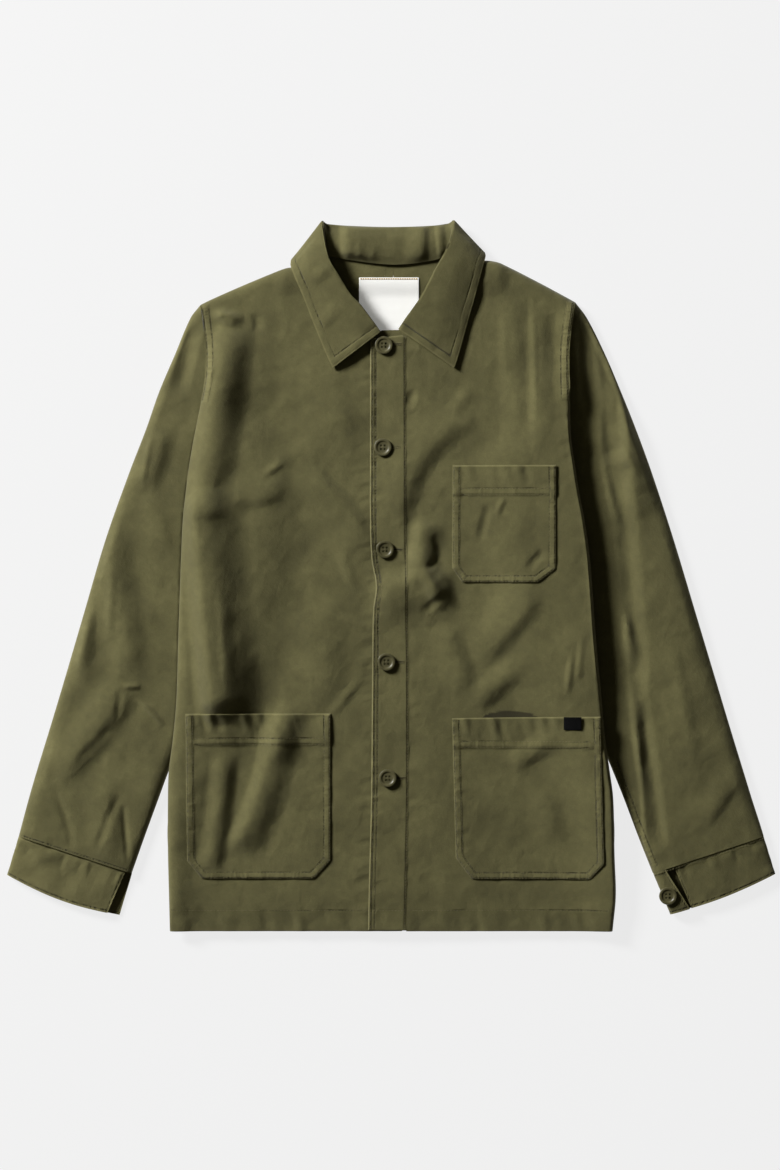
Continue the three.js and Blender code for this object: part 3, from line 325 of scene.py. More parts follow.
SMALL_BODY_FOLDS = Table(FOLD_COLUMNS, (
    (-192, 284, -170, 279, 0, 4, 5, 1.6, 0.4),
    (194, 300, 190, 176, 0, 18, 9, 3.0, 0.2),
    (-186, 276, -164, 270, 0, 4, 5, 1.4, 0.4),
    (-150, 286, -146, 262, 3, 6, 10, -2.0, 0.4),
    (-190, 232, -196, 208, 0, 4, 5, 1.2, 0.4),
    (-184, -4, -176, -132, 0, 8, 14, 1.6, 0.3),
    (-141, 106, -112, 126, 0, 6, 8, 1.6, 0.4),
    (-26, -101, -68, -155, 0, 8, 8, 1.6, 0.4),
    (-22, -60, -60, -40, 0, 8, 8, 1.8, 0.4),
    (-58, 34, -36, -20, 0, 10, 10, 1.6, 0.4),
    (44, 46, 54, 22, 0, 5, 6, -1.6, 0.4),
    (54, 24, 37, 6, 0, 5, 6, -1.6, 0.4),
    (38, 8, 62, -16, 0, 6, 6, -1.6, 0.4),
    (62, -16, 30, -42, 0, 7, 8, -1.8, 0.4),
    (196, -76, 188, -134, 0, 5, 6, 1.6, 0.35),
    (206, -60, 200, -120, 0, 5, 6, 1.3, 0.35),
    (107, 84, 95, 34, 0, 8, 7, -1.8, 0.35),
    (122, 88, 112, 62, 0, 5, 6, 1.4, 0.4),
    (167, 30, 145, 6, 0, 7, 7, -1.8, 0.35),
    (174, 286, 172, 236, 0, 10, 10, -1.0, 0.35),
    (152, 312, 156, 170, 0, 5, 5, 0.8, 0.3),
    (120, 300, 126, 190, 0, 8, 8, 0.6, 0.35),
    (26, 208, 18, 178, 0, 8, 8, -1.6, 0.4),
    (88, 206, 60, 168, 0, 12, 12, 1.4, 0.4),
))

SMALL_SLEEVE_FOLDS = Table(FOLD_COLUMNS, (
    (-268, -118, -292, -119, 0, 4, 5, 2.2, 0.35),
    (-291, -118, -297, -158, 0, 5, 5, -2.0, 0.35),
    (-276, -130, -243, -162, 0, 4, 5, 2.4, 0.35),
    (-295, -155, -346, -206, 0, 6, 8, -1.2, 0.3),
    (-368, -224, -345, -300, 5, 6, 7, -1.6, 0.3),
    (-293, -230, -321, -302, 0, 6, 7, -1.6, 0.3),
    (-290, -240, -284, -316, 0, 5, 6, -1.8, 0.3),
    (-258, 156, -270, 96, 0, 6, 6, 1.6, 0.35),
    (-300, 30, -306, -80, 0, 8, 8, 1.6, 0.35),
    (236, 160, 270, 104, 0, 6, 7, 1.8, 0.35),
    (228, 120, 252, 40, 0, 8, 8, 1.6, 0.35),
    (226, 310, 246, 120, 4, 34, 12, -9.0, 0.1),
    (244, 140, 268, -160, 2, 32, 16, -6.0, 0.12),
    (270, -130, 294, -300, 0, 20, 10, -5.0, 0.2),
    (244, -98, 246, -148, 0, 4, 5, 1.6, 0.35),
    (274, -130, 276, -222, 0, 7, 8, -0.8, 0.3),
    (380, -224, 343, -276, 0, 8, 10, -1.0, 0.35),
    (300, -60, 330, -200, 0, 12, 12, 1.4, 0.35),
))


@dataclass(frozen=True)
class Side:
    """One side of the jacket: where its body ends and its sleeve lies."""

    name: str
    sign: float
    tuck_top: float
    tuck_bottom: float
    tuck_reach: float
    edge_radius: float
    rise_start: float
    rise_width: float
    sleeve_edges: Table

    def body_edge(self, y: Array) -> Array:
        """The X of the body's side edge."""
        return BODY_EDGES.read("y", self.name, y)

    def sleeve_inner(self, y: Array) -> Array:
        """The X of the hidden line where the sleeve's mouth lies, and of its inner edge below.

        Args:
            y: Places along.

        Returns:
            The line's X.
        """
        y = np.asarray(y, float)
        edge = self.body_edge(y)
        inward = smooth((self.tuck_top - y) / (self.tuck_top - self.tuck_bottom))
        tucked = edge - self.sign * self.tuck_reach * inward
        inner = self.sleeve_edges.read("y", "inner", y)
        return np.where(y >= self.tuck_top, edge, np.where(y <= self.tuck_bottom, inner, tucked))


RIGHT = Side("right", -1.0, 190.0, 112.0, 54.0, 13.0, -3.0, 8.0, Table("y outer inner", (
    (294, -206.3, -165), (280, -217, -165), (240, -234, -165), (200, -251, -165),
    (160, -265, -165), (112, -283.5, -165), (40, -309, -168), (-40, -332.5, -180),
    (-110, -353, -200), (-165, -369.5, -221), (-209, -383, -240), (-240, -392, -251.5),
    (-281, -403, -266.5), (-325, -415, -282),
)))
LEFT = Side("left", 1.0, 170.0, 112.0, 41.0, 5.5, 28.0, 20.0, Table("y outer inner", (
    (297, 199.3, 158), (280, 212, 158), (240, 232, 158), (200, 249, 158), (160, 265, 158),
    (112, 282.5, 158), (40, 306, 163), (-40, 330, 178), (-110, 351, 199), (-165, 367.5, 221),
    (-209, 381, 239.5), (-240, 390.5, 252), (-281, 403.5, 267.5), (-325, 415, 285),
)))
SIDES = (RIGHT, LEFT)


@dataclass(frozen=True)
class BodyForm:
    """The heights of the body's layers, as the solids have them, with the small creases added."""

    cloth: float = 1.4
    back_cloth: float = 1.2
    placket_cloth: float = 2.2
    placket_drop: float = 0.7
    pocket_cloth: float = 1.2
    puff: float = 8.0
    shoulder_radius: float = 11.0
    hem_y: float = -383.5
    hem_reach: float = 50.0
    hem_share: float = 0.78
    steepest: float = 1.8
    slope_reach: float = 4.0
    open_start: float = 5.0
    open_length: float = 40.0
    sleeve_lift: float = 8.1
    lift_margin: float = 19.0
    lift_slope: float = 14.0
    lift_end: float = 2.0
    lift_end_slope: float = 40.0
    eased_slope: float = 64.0
    eased_end_slope: float = 84.0
    neck_lift: float = 3.2
    neck_lift_y: float = 300.0
    neck_slope_y: float = 20.0
    neck_lift_x: float = 130.0
    neck_slope_x: float = 16.0
    crumples: tuple[Crumple, ...] = (
        Crumple(11, 36.0, 0.8), Crumple(12, 18.0, 0.34), Crumple(13, 9.0, 0.14),
    )

    def back_lift(self, x: Array, y: Array, slope: float, end_slope: float) -> Array:
        """How far a layer is lifted where the sleeves lie under it, over slopes of these lengths.

        Args:
            x: Places across.
            y: Places along.
            slope: The slope beside the sleeves.
            end_slope: The slope above them.

        Returns:
            The lift at each place.
        """
        lift = np.zeros(np.broadcast(x, y).shape)
        for side in SIDES:
            past = side.sign * (x - side.sleeve_inner(y)) + slope + self.lift_margin
            below = (side.tuck_top + self.lift_end + end_slope - y) / end_slope
            lift = lift + self.sleeve_lift * smooth(past / slope) * smooth(below)
        high = smooth((y - self.neck_lift_y) / self.neck_slope_y)
        near = smooth((self.neck_lift_x - np.abs(x)) / self.neck_slope_x)
        return lift + self.neck_lift * high * near

    def back_under(self, x: Array, y: Array) -> Array:
        """The underside of the back."""
        return self.back_lift(x, y, self.lift_slope, self.lift_end_slope)

    def eased_under(self, x: Array, y: Array) -> Array:
        """The back's underside as the fronts feel it, with the steps beside the sleeves eased."""
        return self.back_lift(x, y, self.eased_slope, self.eased_end_slope)

    def raised(self, under: HeightAt, thickness: float, x: Array, y: Array) -> Array:
        """The top of a wall of even thickness over an underside.

        Args:
            under: The underside's height.
            thickness: The cloth's thickness.
            x: Places across.
            y: Places along.

        Returns:
            The heights.
        """
        reach = self.slope_reach
        slope_x = (under(x + reach, y) - under(x - reach, y)) / (2.0 * reach)
        slope_y = (under(x, y + reach) - under(x, y - reach)) / (2.0 * reach)
        slant = np.sqrt(1.0 + slope_x * slope_x + slope_y * slope_y)
        return under(x, y) + thickness * np.minimum(slant, self.steepest)

    def back_top(self, x: Array, y: Array) -> Array:
        """The inside of the back, under the fronts."""
        return self.raised(self.back_under, self.back_cloth, x, y)

    def edge_share(self, x: Array, y: Array) -> Array:
        """How much of its height the front has: little at its rounded sides and shoulders.

        Args:
            x: Places across.
            y: Places along.

        Returns:
            Shares from 0 to 1.
        """
        sides = np.ones(np.broadcast(x, y).shape)
        for side in SIDES:
            inside = side.sign * (side.body_edge(y) - x)
            opening = smooth((y - side.tuck_top + self.open_start) / self.open_length)
            sides = np.minimum(sides, mixed(rolled(inside, side.edge_radius), 1.0, opening))
        shoulder = rolled(SHOULDER_LINE.read("x", "y", x) - y, self.shoulder_radius)
        hem = mixed(self.hem_share, 1.0, smooth((y - self.hem_y) / self.hem_reach))
        return np.minimum(sides, shoulder) * hem

    def front_under(self, x: Array, y: Array, step: float) -> Array:
        """The underside of a front that stands a step over the back."""
        share = self.edge_share(x, y)
        folds = fold_heights(BODY_FOLDS, x, y) * share
        base = self.raised(self.eased_under, self.back_cloth, x, y)
        return base + SEAM_GAP + np.maximum((self.puff + step) * share + folds, 0.0)

    def creases(self, x: Array, y: Array) -> Array:
        """The small creases and the unevenness of the fronts."""
        small = fold_heights(SMALL_BODY_FOLDS, x, y)
        for crumple in self.crumples:
            small = small + crumple.at(x, y)
        return small * self.edge_share(x, y)

    def right_top(self, x: Array, y: Array) -> Array:
        """The top of the right front, the under one."""
        top = self.raised(lambda a, b: self.front_under(a, b, 0.0), self.cloth, x, y)
        return top + self.creases(x, y)

    def left_top(self, x: Array, y: Array) -> Array:
        """The top of the left front, the upper one."""
        step = self.cloth + SEAM_GAP
        top = self.raised(lambda a, b: self.front_under(a, b, step), self.cloth, x, y)
        return top + self.creases(x, y)

    def placket_top(self, x: Array, y: Array) -> Array:
        """The top of the placket, which lies on the right front."""
        edge = PLACKET_EDGES.read("y", "left", y)
        lowered = self.placket_drop * smooth((x - edge + 3.0) / 2.5)
        return self.right_top(x, y) + SEAM_GAP + self.placket_cloth - lowered


BODY = BodyForm()


# Shader maths and nodes


class Value:
    """A number socket of a material, with arithmetic that adds its Math nodes."""

    def __init__(self, sheet: "NodeSheet", socket: bpy.types.NodeSocket) -> None:
        """Wraps a socket."""
        self.sheet = sheet
        self.socket = socket

    def math(self, operation: str, *others: "Value | float", first: float | None = None) -> "Value":
        """Adds a Math node.

        Args:
            operation: The node's operation.
            others: What follows this value.
            first: A number that comes before this value.

        Returns:
            The node's result.
        """
        terms = [self, *others] if first is None else [first, self, *others]
        inputs = {index: term for index, term in enumerate(terms)}
        node = self.sheet.add("ShaderNodeMath", {"operation": operation}, inputs)
        return Value(self.sheet, node.outputs[0])

    def __add__(self, other: "Value | float") -> "Value":
        """Sum."""
        return self.math("ADD", other)

    __radd__ = __add__

    def __sub__(self, other: "Value | float") -> "Value":
        """Difference."""
        return self.math("SUBTRACT", other)

    def __rsub__(self, other: float) -> "Value":
        """Difference from a number."""
        return self.math("SUBTRACT", first=other)

    def __mul__(self, other: "Value | float") -> "Value":
        """Product."""
        return self.math("MULTIPLY", other)

    __rmul__ = __mul__

    def __truediv__(self, other: "Value | float") -> "Value":
        """Quotient."""
        return self.math("DIVIDE", other)

    def ramp(self, low: float, high: float, start: float = 0.0, end: float = 1.0) -> "Value":
        """Eases from start at low to end at high, and holds both."""
        inputs = {"Value": self, "From Min": low, "From Max": high, "To Min": start, "To Max": end}
        node = self.sheet.add("ShaderNodeMapRange", {"interpolation_type": "SMOOTHSTEP"}, inputs)
        return Value(self.sheet, node.outputs["Result"])


class NodeSheet:
    """The nodes of one material."""

    def __init__(self, name: str) -> None:
        """Starts an empty material."""
        self.material = bpy.data.materials.new(name)
        self.material.use_nodes = True
        self.tree = self.material.node_tree
        self.tree.nodes.clear()

    def add(self, kind: str, settings: dict | None = None, inputs: dict | None = None) -> bpy.types.Node:
        """Adds a node.

        Args:
            kind: The node's type.
            settings: Its properties, set before its sockets.
            inputs: Values or links of its sockets, by name or number.

        Returns:
            The node.
        """
        node = self.tree.nodes.new(kind)
        for key, setting in (settings or {}).items():
            setattr(node, key, setting)
        for key, given in (inputs or {}).items():
            socket = node.inputs[key]
            source = given.socket if isinstance(given, Value) else given
            if isinstance(source, bpy.types.NodeSocket):
                self.tree.links.new(source, socket)
            else:
                socket.default_value = source
        return node

    def attribute(self, name: str) -> Value:
        """A number that the piece's mesh carries."""
        node = self.add("ShaderNodeAttribute", {"attribute_name": name})
        return Value(self, node.outputs["Fac"])

    def place(self) -> bpy.types.NodeSocket:
        """The Object coordinates."""
        return self.add("ShaderNodeTexCoord").outputs["Object"]

    def mapped(self, scale: tuple[float, float, float] = (1.0, 1.0, 1.0),
               turn: float = 0.0) -> bpy.types.NodeSocket:
        """Object coordinates scaled and turned about Z."""
        inputs = {"Vector": self.place(), "Scale": scale, "Rotation": (0.0, 0.0, turn)}
        return self.add("ShaderNodeMapping", None, inputs).outputs["Vector"]

    def noise(self, vector: bpy.types.NodeSocket, scale: float, detail: float = 2.0,
              roughness: float = 0.5) -> Value:
        """Noise around one half."""
        inputs = {"Vector": vector, "Scale": scale, "Detail": detail, "Roughness": roughness}
        node = self.add("ShaderNodeTexNoise", {"normalize": True}, inputs)
        return Value(self, node.outputs["Fac"])

    def along_run(self, pitch: float, seed: float) -> Value:
        """Noise that changes along a seam, with the given pitch in millimetres."""
        run = self.attribute("run") / pitch
        vector = self.add("ShaderNodeCombineXYZ", None, {"X": run, "Z": seed})
        return self.noise(vector.outputs["Vector"], 1.0, 1.0)

    def colour_ramp(self, share: Value, stops: tuple[tuple[float, str], ...]) -> bpy.types.NodeSocket:
        """A colour from a share, over stops of a place and a colour.

        Args:
            share: The value to colour.
            stops: Places and colours.

        Returns:
            The colour.
        """
        node = self.add("ShaderNodeValToRGB", None, {"Fac": share})
        elements = node.color_ramp.elements
        while len(elements) < len(stops):
            elements.new(0.5)
        for element, (place, colour) in zip(elements, stops):
            element.position = place
            element.color = linear(colour)
        return node.outputs["Color"]

    def bump(self, height: Value, distance: float, before: bpy.types.NodeSocket | None = None,
             strength: float = 1.0) -> bpy.types.NodeSocket:
        """Bends the normal by a height, over an earlier bump."""
        inputs = {"Height": height, "Distance": distance * MM, "Strength": strength}
        if before is not None:
            inputs["Normal"] = before
        return self.add("ShaderNodeBump", None, inputs).outputs["Normal"]

    def finish(self, inputs: dict) -> bpy.types.Material:
        """Adds the shader and the output, and returns the material."""
        shader = self.add("ShaderNodeBsdfPrincipled", None, inputs)
        self.add("ShaderNodeOutputMaterial", None, {"Surface": shader.outputs["BSDF"]})
        return self.material


def linear(colour: str) -> tuple[float, float, float, float]:
    """A display colour such as #65603f as linear light."""
    parts = [int(colour[start:start + 2], 16) / 255.0 for start in (1, 3, 5)]
    light = [((part + 0.055) / 1.055) ** 2.4 if part > 0.04045 else part / 12.92 for part in parts]
    return (*light, 1.0)


# Finishes


@dataclass(frozen=True)
class WashedCotton:
    """Brushed olive cotton, worn pale along its seams and edges."""

    name: str
    stops: tuple[tuple[float, str], ...] = (
        (0.0, "#34301a"), (0.3, "#4a4629"), (0.5, "#5d5936"), (0.72, "#746f47"), (1.0, "#979066"),
    )
    level: float = 0.5
    clouds: float = 0.16
    grain: float = 0.20
    weave_pitch: float = 0.9
    rim_wear: float = 0.16
    band_wear: float = 0.2
    row_shade: float = 0.22
    rib_pitch: float = 3.0
    dash_pitch: float = 2.3
    roughness: float = 0.88
    sheen: float = 0.12

    def fade(self, sheet: NodeSheet) -> Value:
        """How faded the cloth is, from 0 dark to 1 pale, with the pieces' painted shade added.

        Args:
            sheet: The material's nodes.

        Returns:
            The share.
        """
        clouds = sheet.noise(sheet.mapped(), 28.0, 3.0) - 0.5
        smaller = sheet.noise(sheet.mapped(turn=0.6), 140.0, 2.0) - 0.5
        grain = sheet.noise(sheet.mapped((1.0, 1.0, 0.4)), 900.0, 2.0, 0.7) - 0.5
        rim = sheet.attribute("rim").ramp(0.4, 2.6, 1.0, 0.0)
        worn = sheet.attribute("worn")
        ribs = self.ribs(sheet)
        row = sheet.attribute("row").ramp(0.2, 1.2, 1.0, 0.0) * (self.dashes(sheet) + 0.25)
        uneven = sheet.along_run(15.0, 7.9)
        # Painted shade: the attribute added first darkens the colour where a piece is painted darker in place
        # of shade.
        total = sheet.attribute("tone") + self.level + clouds * self.clouds * 2.0
        total = total + smaller * self.clouds + grain * self.grain
        total = total + rim * (uneven + 0.4) * self.rim_wear
        return total + worn * (ribs * 0.5 + 0.2) * self.band_wear - row * self.row_shade

    def ribs(self, sheet: NodeSheet) -> Value:
        """The fine uneven ribs that the stitches pull along a seam, from 0 to 1."""
        return sheet.along_run(self.rib_pitch, 3.1).ramp(0.3, 0.7)

    def dashes(self, sheet: NodeSheet) -> Value:
        """The broken line that a row of stitches makes, from 0 to 1."""
        return sheet.along_run(self.dash_pitch, 1.7).ramp(0.35, 0.65)

    def relief(self, sheet: NodeSheet) -> bpy.types.NodeSocket:
        """The bent normal: weave and nap, then wrinkles, then ribs and stitch grooves.

        Args:
            sheet: The material's nodes.

        Returns:
            The normal.
        """
        turned = sheet.mapped(turn=math.radians(38.0))
        waves = {
            "Vector": turned,
            "Scale": WAVE_SCALE / self.weave_pitch,
            "Distortion": 1.2,
            "Detail": 1.0,
        }
        twill = Value(sheet, sheet.add("ShaderNodeTexWave", None, waves).outputs["Fac"])
        nap = sheet.noise(sheet.mapped(), 520.0, 3.0, 0.65)
        wrinkle = sheet.noise(sheet.mapped(turn=0.3), 70.0, 3.0, 0.6)
        first = sheet.bump(twill * 0.25 + nap, 0.32)
        second = sheet.bump(wrinkle, 1.3, first)
        worn = sheet.attribute("worn")
        ribs = self.ribs(sheet)
        row = sheet.attribute("row").ramp(0.0, 1.3, 1.0, 0.0) * (self.dashes(sheet) + 0.2)
        height = worn * ribs * 0.35 - row * 0.8
        return sheet.bump(height, 1.1, second)

    def make(self) -> bpy.types.Material:
        """Builds the material.

        Returns:
            The material.
        """
        sheet = NodeSheet(self.name)
        colour = sheet.colour_ramp(self.fade(sheet), self.stops)
        return sheet.finish({
            "Base Color": colour,
            "Roughness": self.roughness,
            "Normal": self.relief(sheet),
            "Sheen Weight": self.sheen,
            "Sheen Roughness": 0.6,
            "Specular IOR Level": 0.2,
        })


@dataclass(frozen=True)
class Thread:
    """Spun sewing thread."""

    name: str
    stops: tuple[tuple[float, str], ...] = ((0.0, "#4a472d"), (1.0, "#86805a"))

    def make(self) -> bpy.types.Material:
        """Builds the material.

        Returns:
            The material.
        """
        sheet = NodeSheet(self.name)
        tint = sheet.noise(sheet.mapped(), 260.0, 2.0)
        twist = sheet.noise(sheet.mapped(), 2600.0, 1.0)
        return sheet.finish({
            "Base Color": sheet.colour_ramp(tint, self.stops),
            "Roughness": 0.75,
            "Normal": sheet.bump(twist, 0.12),
            "Specular IOR Level": 0.25,
        })


@dataclass(frozen=True)
class MouldedResin:
    """Satin olive resin with faint darker clouds, as the buttons have."""

    name: str
    stops: tuple[tuple[float, str], ...] = ((0.0, "#38361e"), (0.5, "#514d31"), (1.0, "#6b6646"))

    def make(self) -> bpy.types.Material:
        """Builds the material.

        Returns:
            The material.
        """
        sheet = NodeSheet(self.name)
        clouds = sheet.noise(sheet.mapped(), 210.0, 3.0, 0.6)
        scuff = sheet.noise(sheet.mapped(), 1500.0, 2.0)
        return sheet.finish({
            "Base Color": sheet.colour_ramp(clouds, self.stops),
            "Roughness": scuff.ramp(0.3, 0.7, 0.36, 0.52),
            "Normal": sheet.bump(scuff, 0.05),
            "Coat Weight": 0.15,
            "Coat Roughness": 0.3,
        })


@dataclass(frozen=True)
class WovenRibbon:
    """Smooth woven ribbon, as labels and tags are cut from. Its glow, when given, is painted light that makes
    it look brighter.
    """

    name: str
    stops: tuple[tuple[float, str], ...]
    # Emission that makes the ribbon look brighter: painted light, as the ribbon is no lamp.
    glow: float = 0.0
    thread_pitch: float = 0.5

    def make(self) -> bpy.types.Material:
        """Builds the material.

        Returns:
            The material.
        """
        sheet = NodeSheet(self.name)
        wave_scale = WAVE_SCALE / self.thread_pitch
        across = {"Vector": sheet.mapped((0.0, 1.0, 0.0)), "Scale": wave_scale}
        rib = Value(sheet, sheet.add("ShaderNodeTexWave", {"bands_direction": "Y"}, across).outputs["Fac"])
        tint = sheet.noise(sheet.mapped(), 120.0, 3.0)
        return sheet.finish({
            "Base Color": sheet.colour_ramp(tint * 0.6 + rib * 0.4, self.stops),
            "Roughness": 0.72,
            "Normal": sheet.bump(rib + tint, 0.16),
            "Specular IOR Level": 0.12,
            # The glow below is painted light.
            "Emission Color": (1.0, 1.0, 0.97, 1.0),
            "Emission Strength": self.glow,
        })


@dataclass(frozen=True)
class PaleFloor:
    """A pale studio floor that glows a little, so that shadows on it stay faint."""

    name: str
    colour: str = "#f4f4f4"
    reflects: float = 0.1
    glow: float = 0.885

    def make(self) -> bpy.types.Material:
        """Builds the material.

        Returns:
            The material.
        """
        sheet = NodeSheet(self.name)
        return sheet.finish({
            "Base Color": (self.reflects, self.reflects, self.reflects, 1.0),
            "Roughness": 1.0,
            "Specular IOR Level": 0.0,
            "Emission Color": linear(self.colour),
            "Emission Strength": self.glow,
        })


# Making meshes


class Lay(Enum):
    """On which side of its grid a cloth has its thickness."""

    UNDER = -1.0
    MIDDLE = 0.0


def new_grid(name: str, points: Array) -> bpy.types.Object:
    """Adds a grid and moves its vertices.

    Args:
        name: The piece's name.
        points: Rows of points in millimetres.

    Returns:
        The piece, active and alone in the selection.
    """
    rows, columns = points.shape[:2]
    bpy.ops.object.select_all(action="DESELECT")
    bpy.ops.mesh.primitive_grid_add(x_subdivisions=columns - 1, y_subdivisions=rows - 1, size=1.0)
    piece = bpy.context.object
    piece.name = name
    piece.data.name = name
    piece.data.vertices.foreach_set("co", (points.reshape(-1) * MM).astype(np.float32))
    piece.data.update()
    return piece


def mark_vertices(piece: bpy.types.Object, marks: dict[str, Array]) -> None:
    """Writes a number to each vertex for every mark."""
    for name, values in marks.items():
        attribute = piece.data.attributes.new(name, "FLOAT", "POINT")
        attribute.data.foreach_set("value", np.asarray(values, np.float32).reshape(-1))


def close_tube(piece: bpy.types.Object) -> None:
    """Joins a rolled grid's two meeting sides."""
    bpy.ops.object.mode_set(mode="EDIT")
    bpy.ops.mesh.select_all(action="SELECT")
    bpy.ops.mesh.remove_doubles(threshold=0.00002)
    bpy.ops.object.mode_set(mode="OBJECT")


def thicken(piece: bpy.types.Object, thickness: float, lay: Lay, angle: float = 50.0) -> None:
    """Gives a grid the thickness of its cloth and smooths it.

    Args:
        piece: The piece.
        thickness: The cloth's thickness.
        lay: The side that the thickness is on.
        angle: The sharpest smooth edge, in degrees.
    """
    wall = piece.modifiers.new("Wall", "SOLIDIFY")
    wall.thickness = thickness * MM
    wall.offset = lay.value
    bpy.ops.object.modifier_apply(modifier=wall.name)
    bpy.ops.object.shade_smooth_by_angle(angle=math.radians(angle))


def declare_cloth(piece: bpy.types.Object, node: str, material: bpy.types.Material, slot: str,
                  flat: tuple[float, float], area: float, rests_on: list[str]) -> bpy.types.Object:
    """Gives a cloth piece its material, hangs it under the root body and hides the part that it stands for.

    Args:
        piece: The piece.
        node: The node that it stands for.
        material: Its finish.
        slot: Its material slot. Not used.
        flat: Its flat width and length in metres. Not used.
        area: Its flat area in square metres. Not used.
        rests_on: What it lies on. Not used.

    Returns:
        The same piece.
    """
    piece.data.materials.append(material)
    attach(piece, "root")
    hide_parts(node)
    LOG.info("%s: %d faces", piece.name, len(piece.data.polygons))
    return piece


@dataclass(frozen=True)
class Copied:
    """A small shape to lay many times."""

    corners: Array
    faces: tuple[tuple[int, ...], ...]

    @staticmethod
    def stitch() -> "Copied":
        """One lying stitch of unit length, width and height, taken from a sphere.

        Returns:
            The stitch.
        """
        bpy.ops.object.select_all(action="DESELECT")
        bpy.ops.mesh.primitive_uv_sphere_add(segments=6, ring_count=4, radius=0.5)
        bpy.ops.object.mode_set(mode="EDIT")
        bpy.ops.mesh.select_all(action="SELECT")
        bpy.ops.transform.rotate(value=math.pi / 2.0, orient_axis="Y", center_override=(0.0, 0.0, 0.0))
        bpy.ops.object.mode_set(mode="OBJECT")
        sphere = bpy.context.object
        corners = np.array([vertex.co for vertex in sphere.data.vertices])
        faces = tuple(tuple(face.vertices) for face in sphere.data.polygons)
        bpy.data.objects.remove(sphere)
        return Copied(corners, faces)

    def lay(self, name: str, places: Array) -> bpy.types.Object:
        """Joins copies into one piece.

        Args:
            name: The piece's name.
            places: For each copy its centre and its three axes, as 4 x 3 numbers.

        Returns:
            The joined piece.
        """
        count = len(self.corners)
        shape = np.einsum("ck,nkj->ncj", self.corners, places[:, 1:])
        points = shape + places[:, None, 0]
        mesh = bpy.data.meshes.new(name)
        faces = [
            tuple(index * count + corner for corner in face)
            for index in range(len(places)) for face in self.faces
        ]
        mesh.from_pydata((points.reshape(-1, 3) * MM).tolist(), [], faces)
        mesh.update()
        piece = bpy.data.objects.new(name, mesh)
        bpy.context.scene.collection.objects.link(piece)
        for face in mesh.polygons:
            face.use_smooth = True
        return piece


# Panels of cloth


@dataclass(frozen=True)
class Outline:
    """The four side lines of a panel, as points. bottom and top run to +X, left and right up."""

    bottom: Array
    top: Array
    left: Array
    right: Array
    top_by_x: bool = False

    def top_points(self, across: Array) -> Array:
        """Points of the top line, at shares of its length or of its X range."""
        if not self.top_by_x:
            return along(self.top, across)
        x = mixed(self.top[0, 0], self.top[-1, 0], across)
        rising = np.maximum.accumulate(self.top[:, 0]) + np.arange(len(self.top)) * 1e-5
        return np.stack([x, np.interp(x, rising, self.top[:, 1])], axis=1)

    def grid(self, across: Array, up: Array) -> Array:
        """Points between the four lines, at shares across and up.

        Args:
            across: Shares across.
            up: Shares up.

        Returns:
            Rows of points.
        """
        u = across[None, :, None]
        v = up[:, None, None]
        low = along(self.bottom, across)[None]
        high = self.top_points(across)[None]
        west = along(self.left, up)[:, None]
        east = along(self.right, up)[:, None]
        flat = (1 - u) * (1 - v) * low[:, :1] + u * (1 - v) * low[:, -1:]
        flat = flat + (1 - u) * v * high[:, :1] + u * v * high[:, -1:]
        return (1 - v) * low + v * high + (1 - u) * west + u * east - flat

    def widths(self) -> tuple[float, float]:
        """The lengths across and up, which set how fine the grid is."""
        return run_lengths(self.bottom)[-1], run_lengths(self.left)[-1]


@dataclass(frozen=True)
class Seam:
    """A sewn line on a panel: rows of stitches beside it and the puckers that they pull.

    rows are the distances of the stitch rows to the line's left, worn is the part between two of
    them that is rubbed pale, pucker the height of its small folds and reach how far they run.
    """

    path: Array
    rows: tuple[float, ...] = ()
    worn: tuple[float, float] | None = None
    wear: float = 1.0
    rise: float = 0.0
    pucker: float = 0.0
    pitch: float = 8.0
    reach: float = 14.0
    seed: int = 1

    def side_of(self, x: Array, y: Array) -> tuple[Array, Array]:
        """The distance to the line, positive on its left, and the run along it."""
        distance, run = nearest_on(self.path, x, y)
        probe, _ = nearest_on(moved_aside(self.path, 0.01), x, y)
        return np.where(probe <= distance, distance, -distance), run

    def beside(self, run: Array) -> Array:
        """1 beside the line and 0 past its ends."""
        total = run_lengths(self.path)[-1]
        return smooth(run / 2.0) * smooth((total - run) / 2.0)

    def puckers(self, x: Array, y: Array) -> Array:
        """The height of the seam's small folds.

        Args:
            x: Places across.
            y: Places along.

        Returns:
            The heights.
        """
        if not self.pucker:
            return np.zeros(x.shape)
        aside, run = self.side_of(x, y)
        middle = float(np.mean(self.rows)) if self.rows else 0.0
        near = np.exp(-((aside - middle) / self.reach) ** 2)
        waves = Crumple(self.seed, self.pitch, 1.0, 5.0).at(run + 0.25 * aside, aside)
        return self.pucker * waves * near


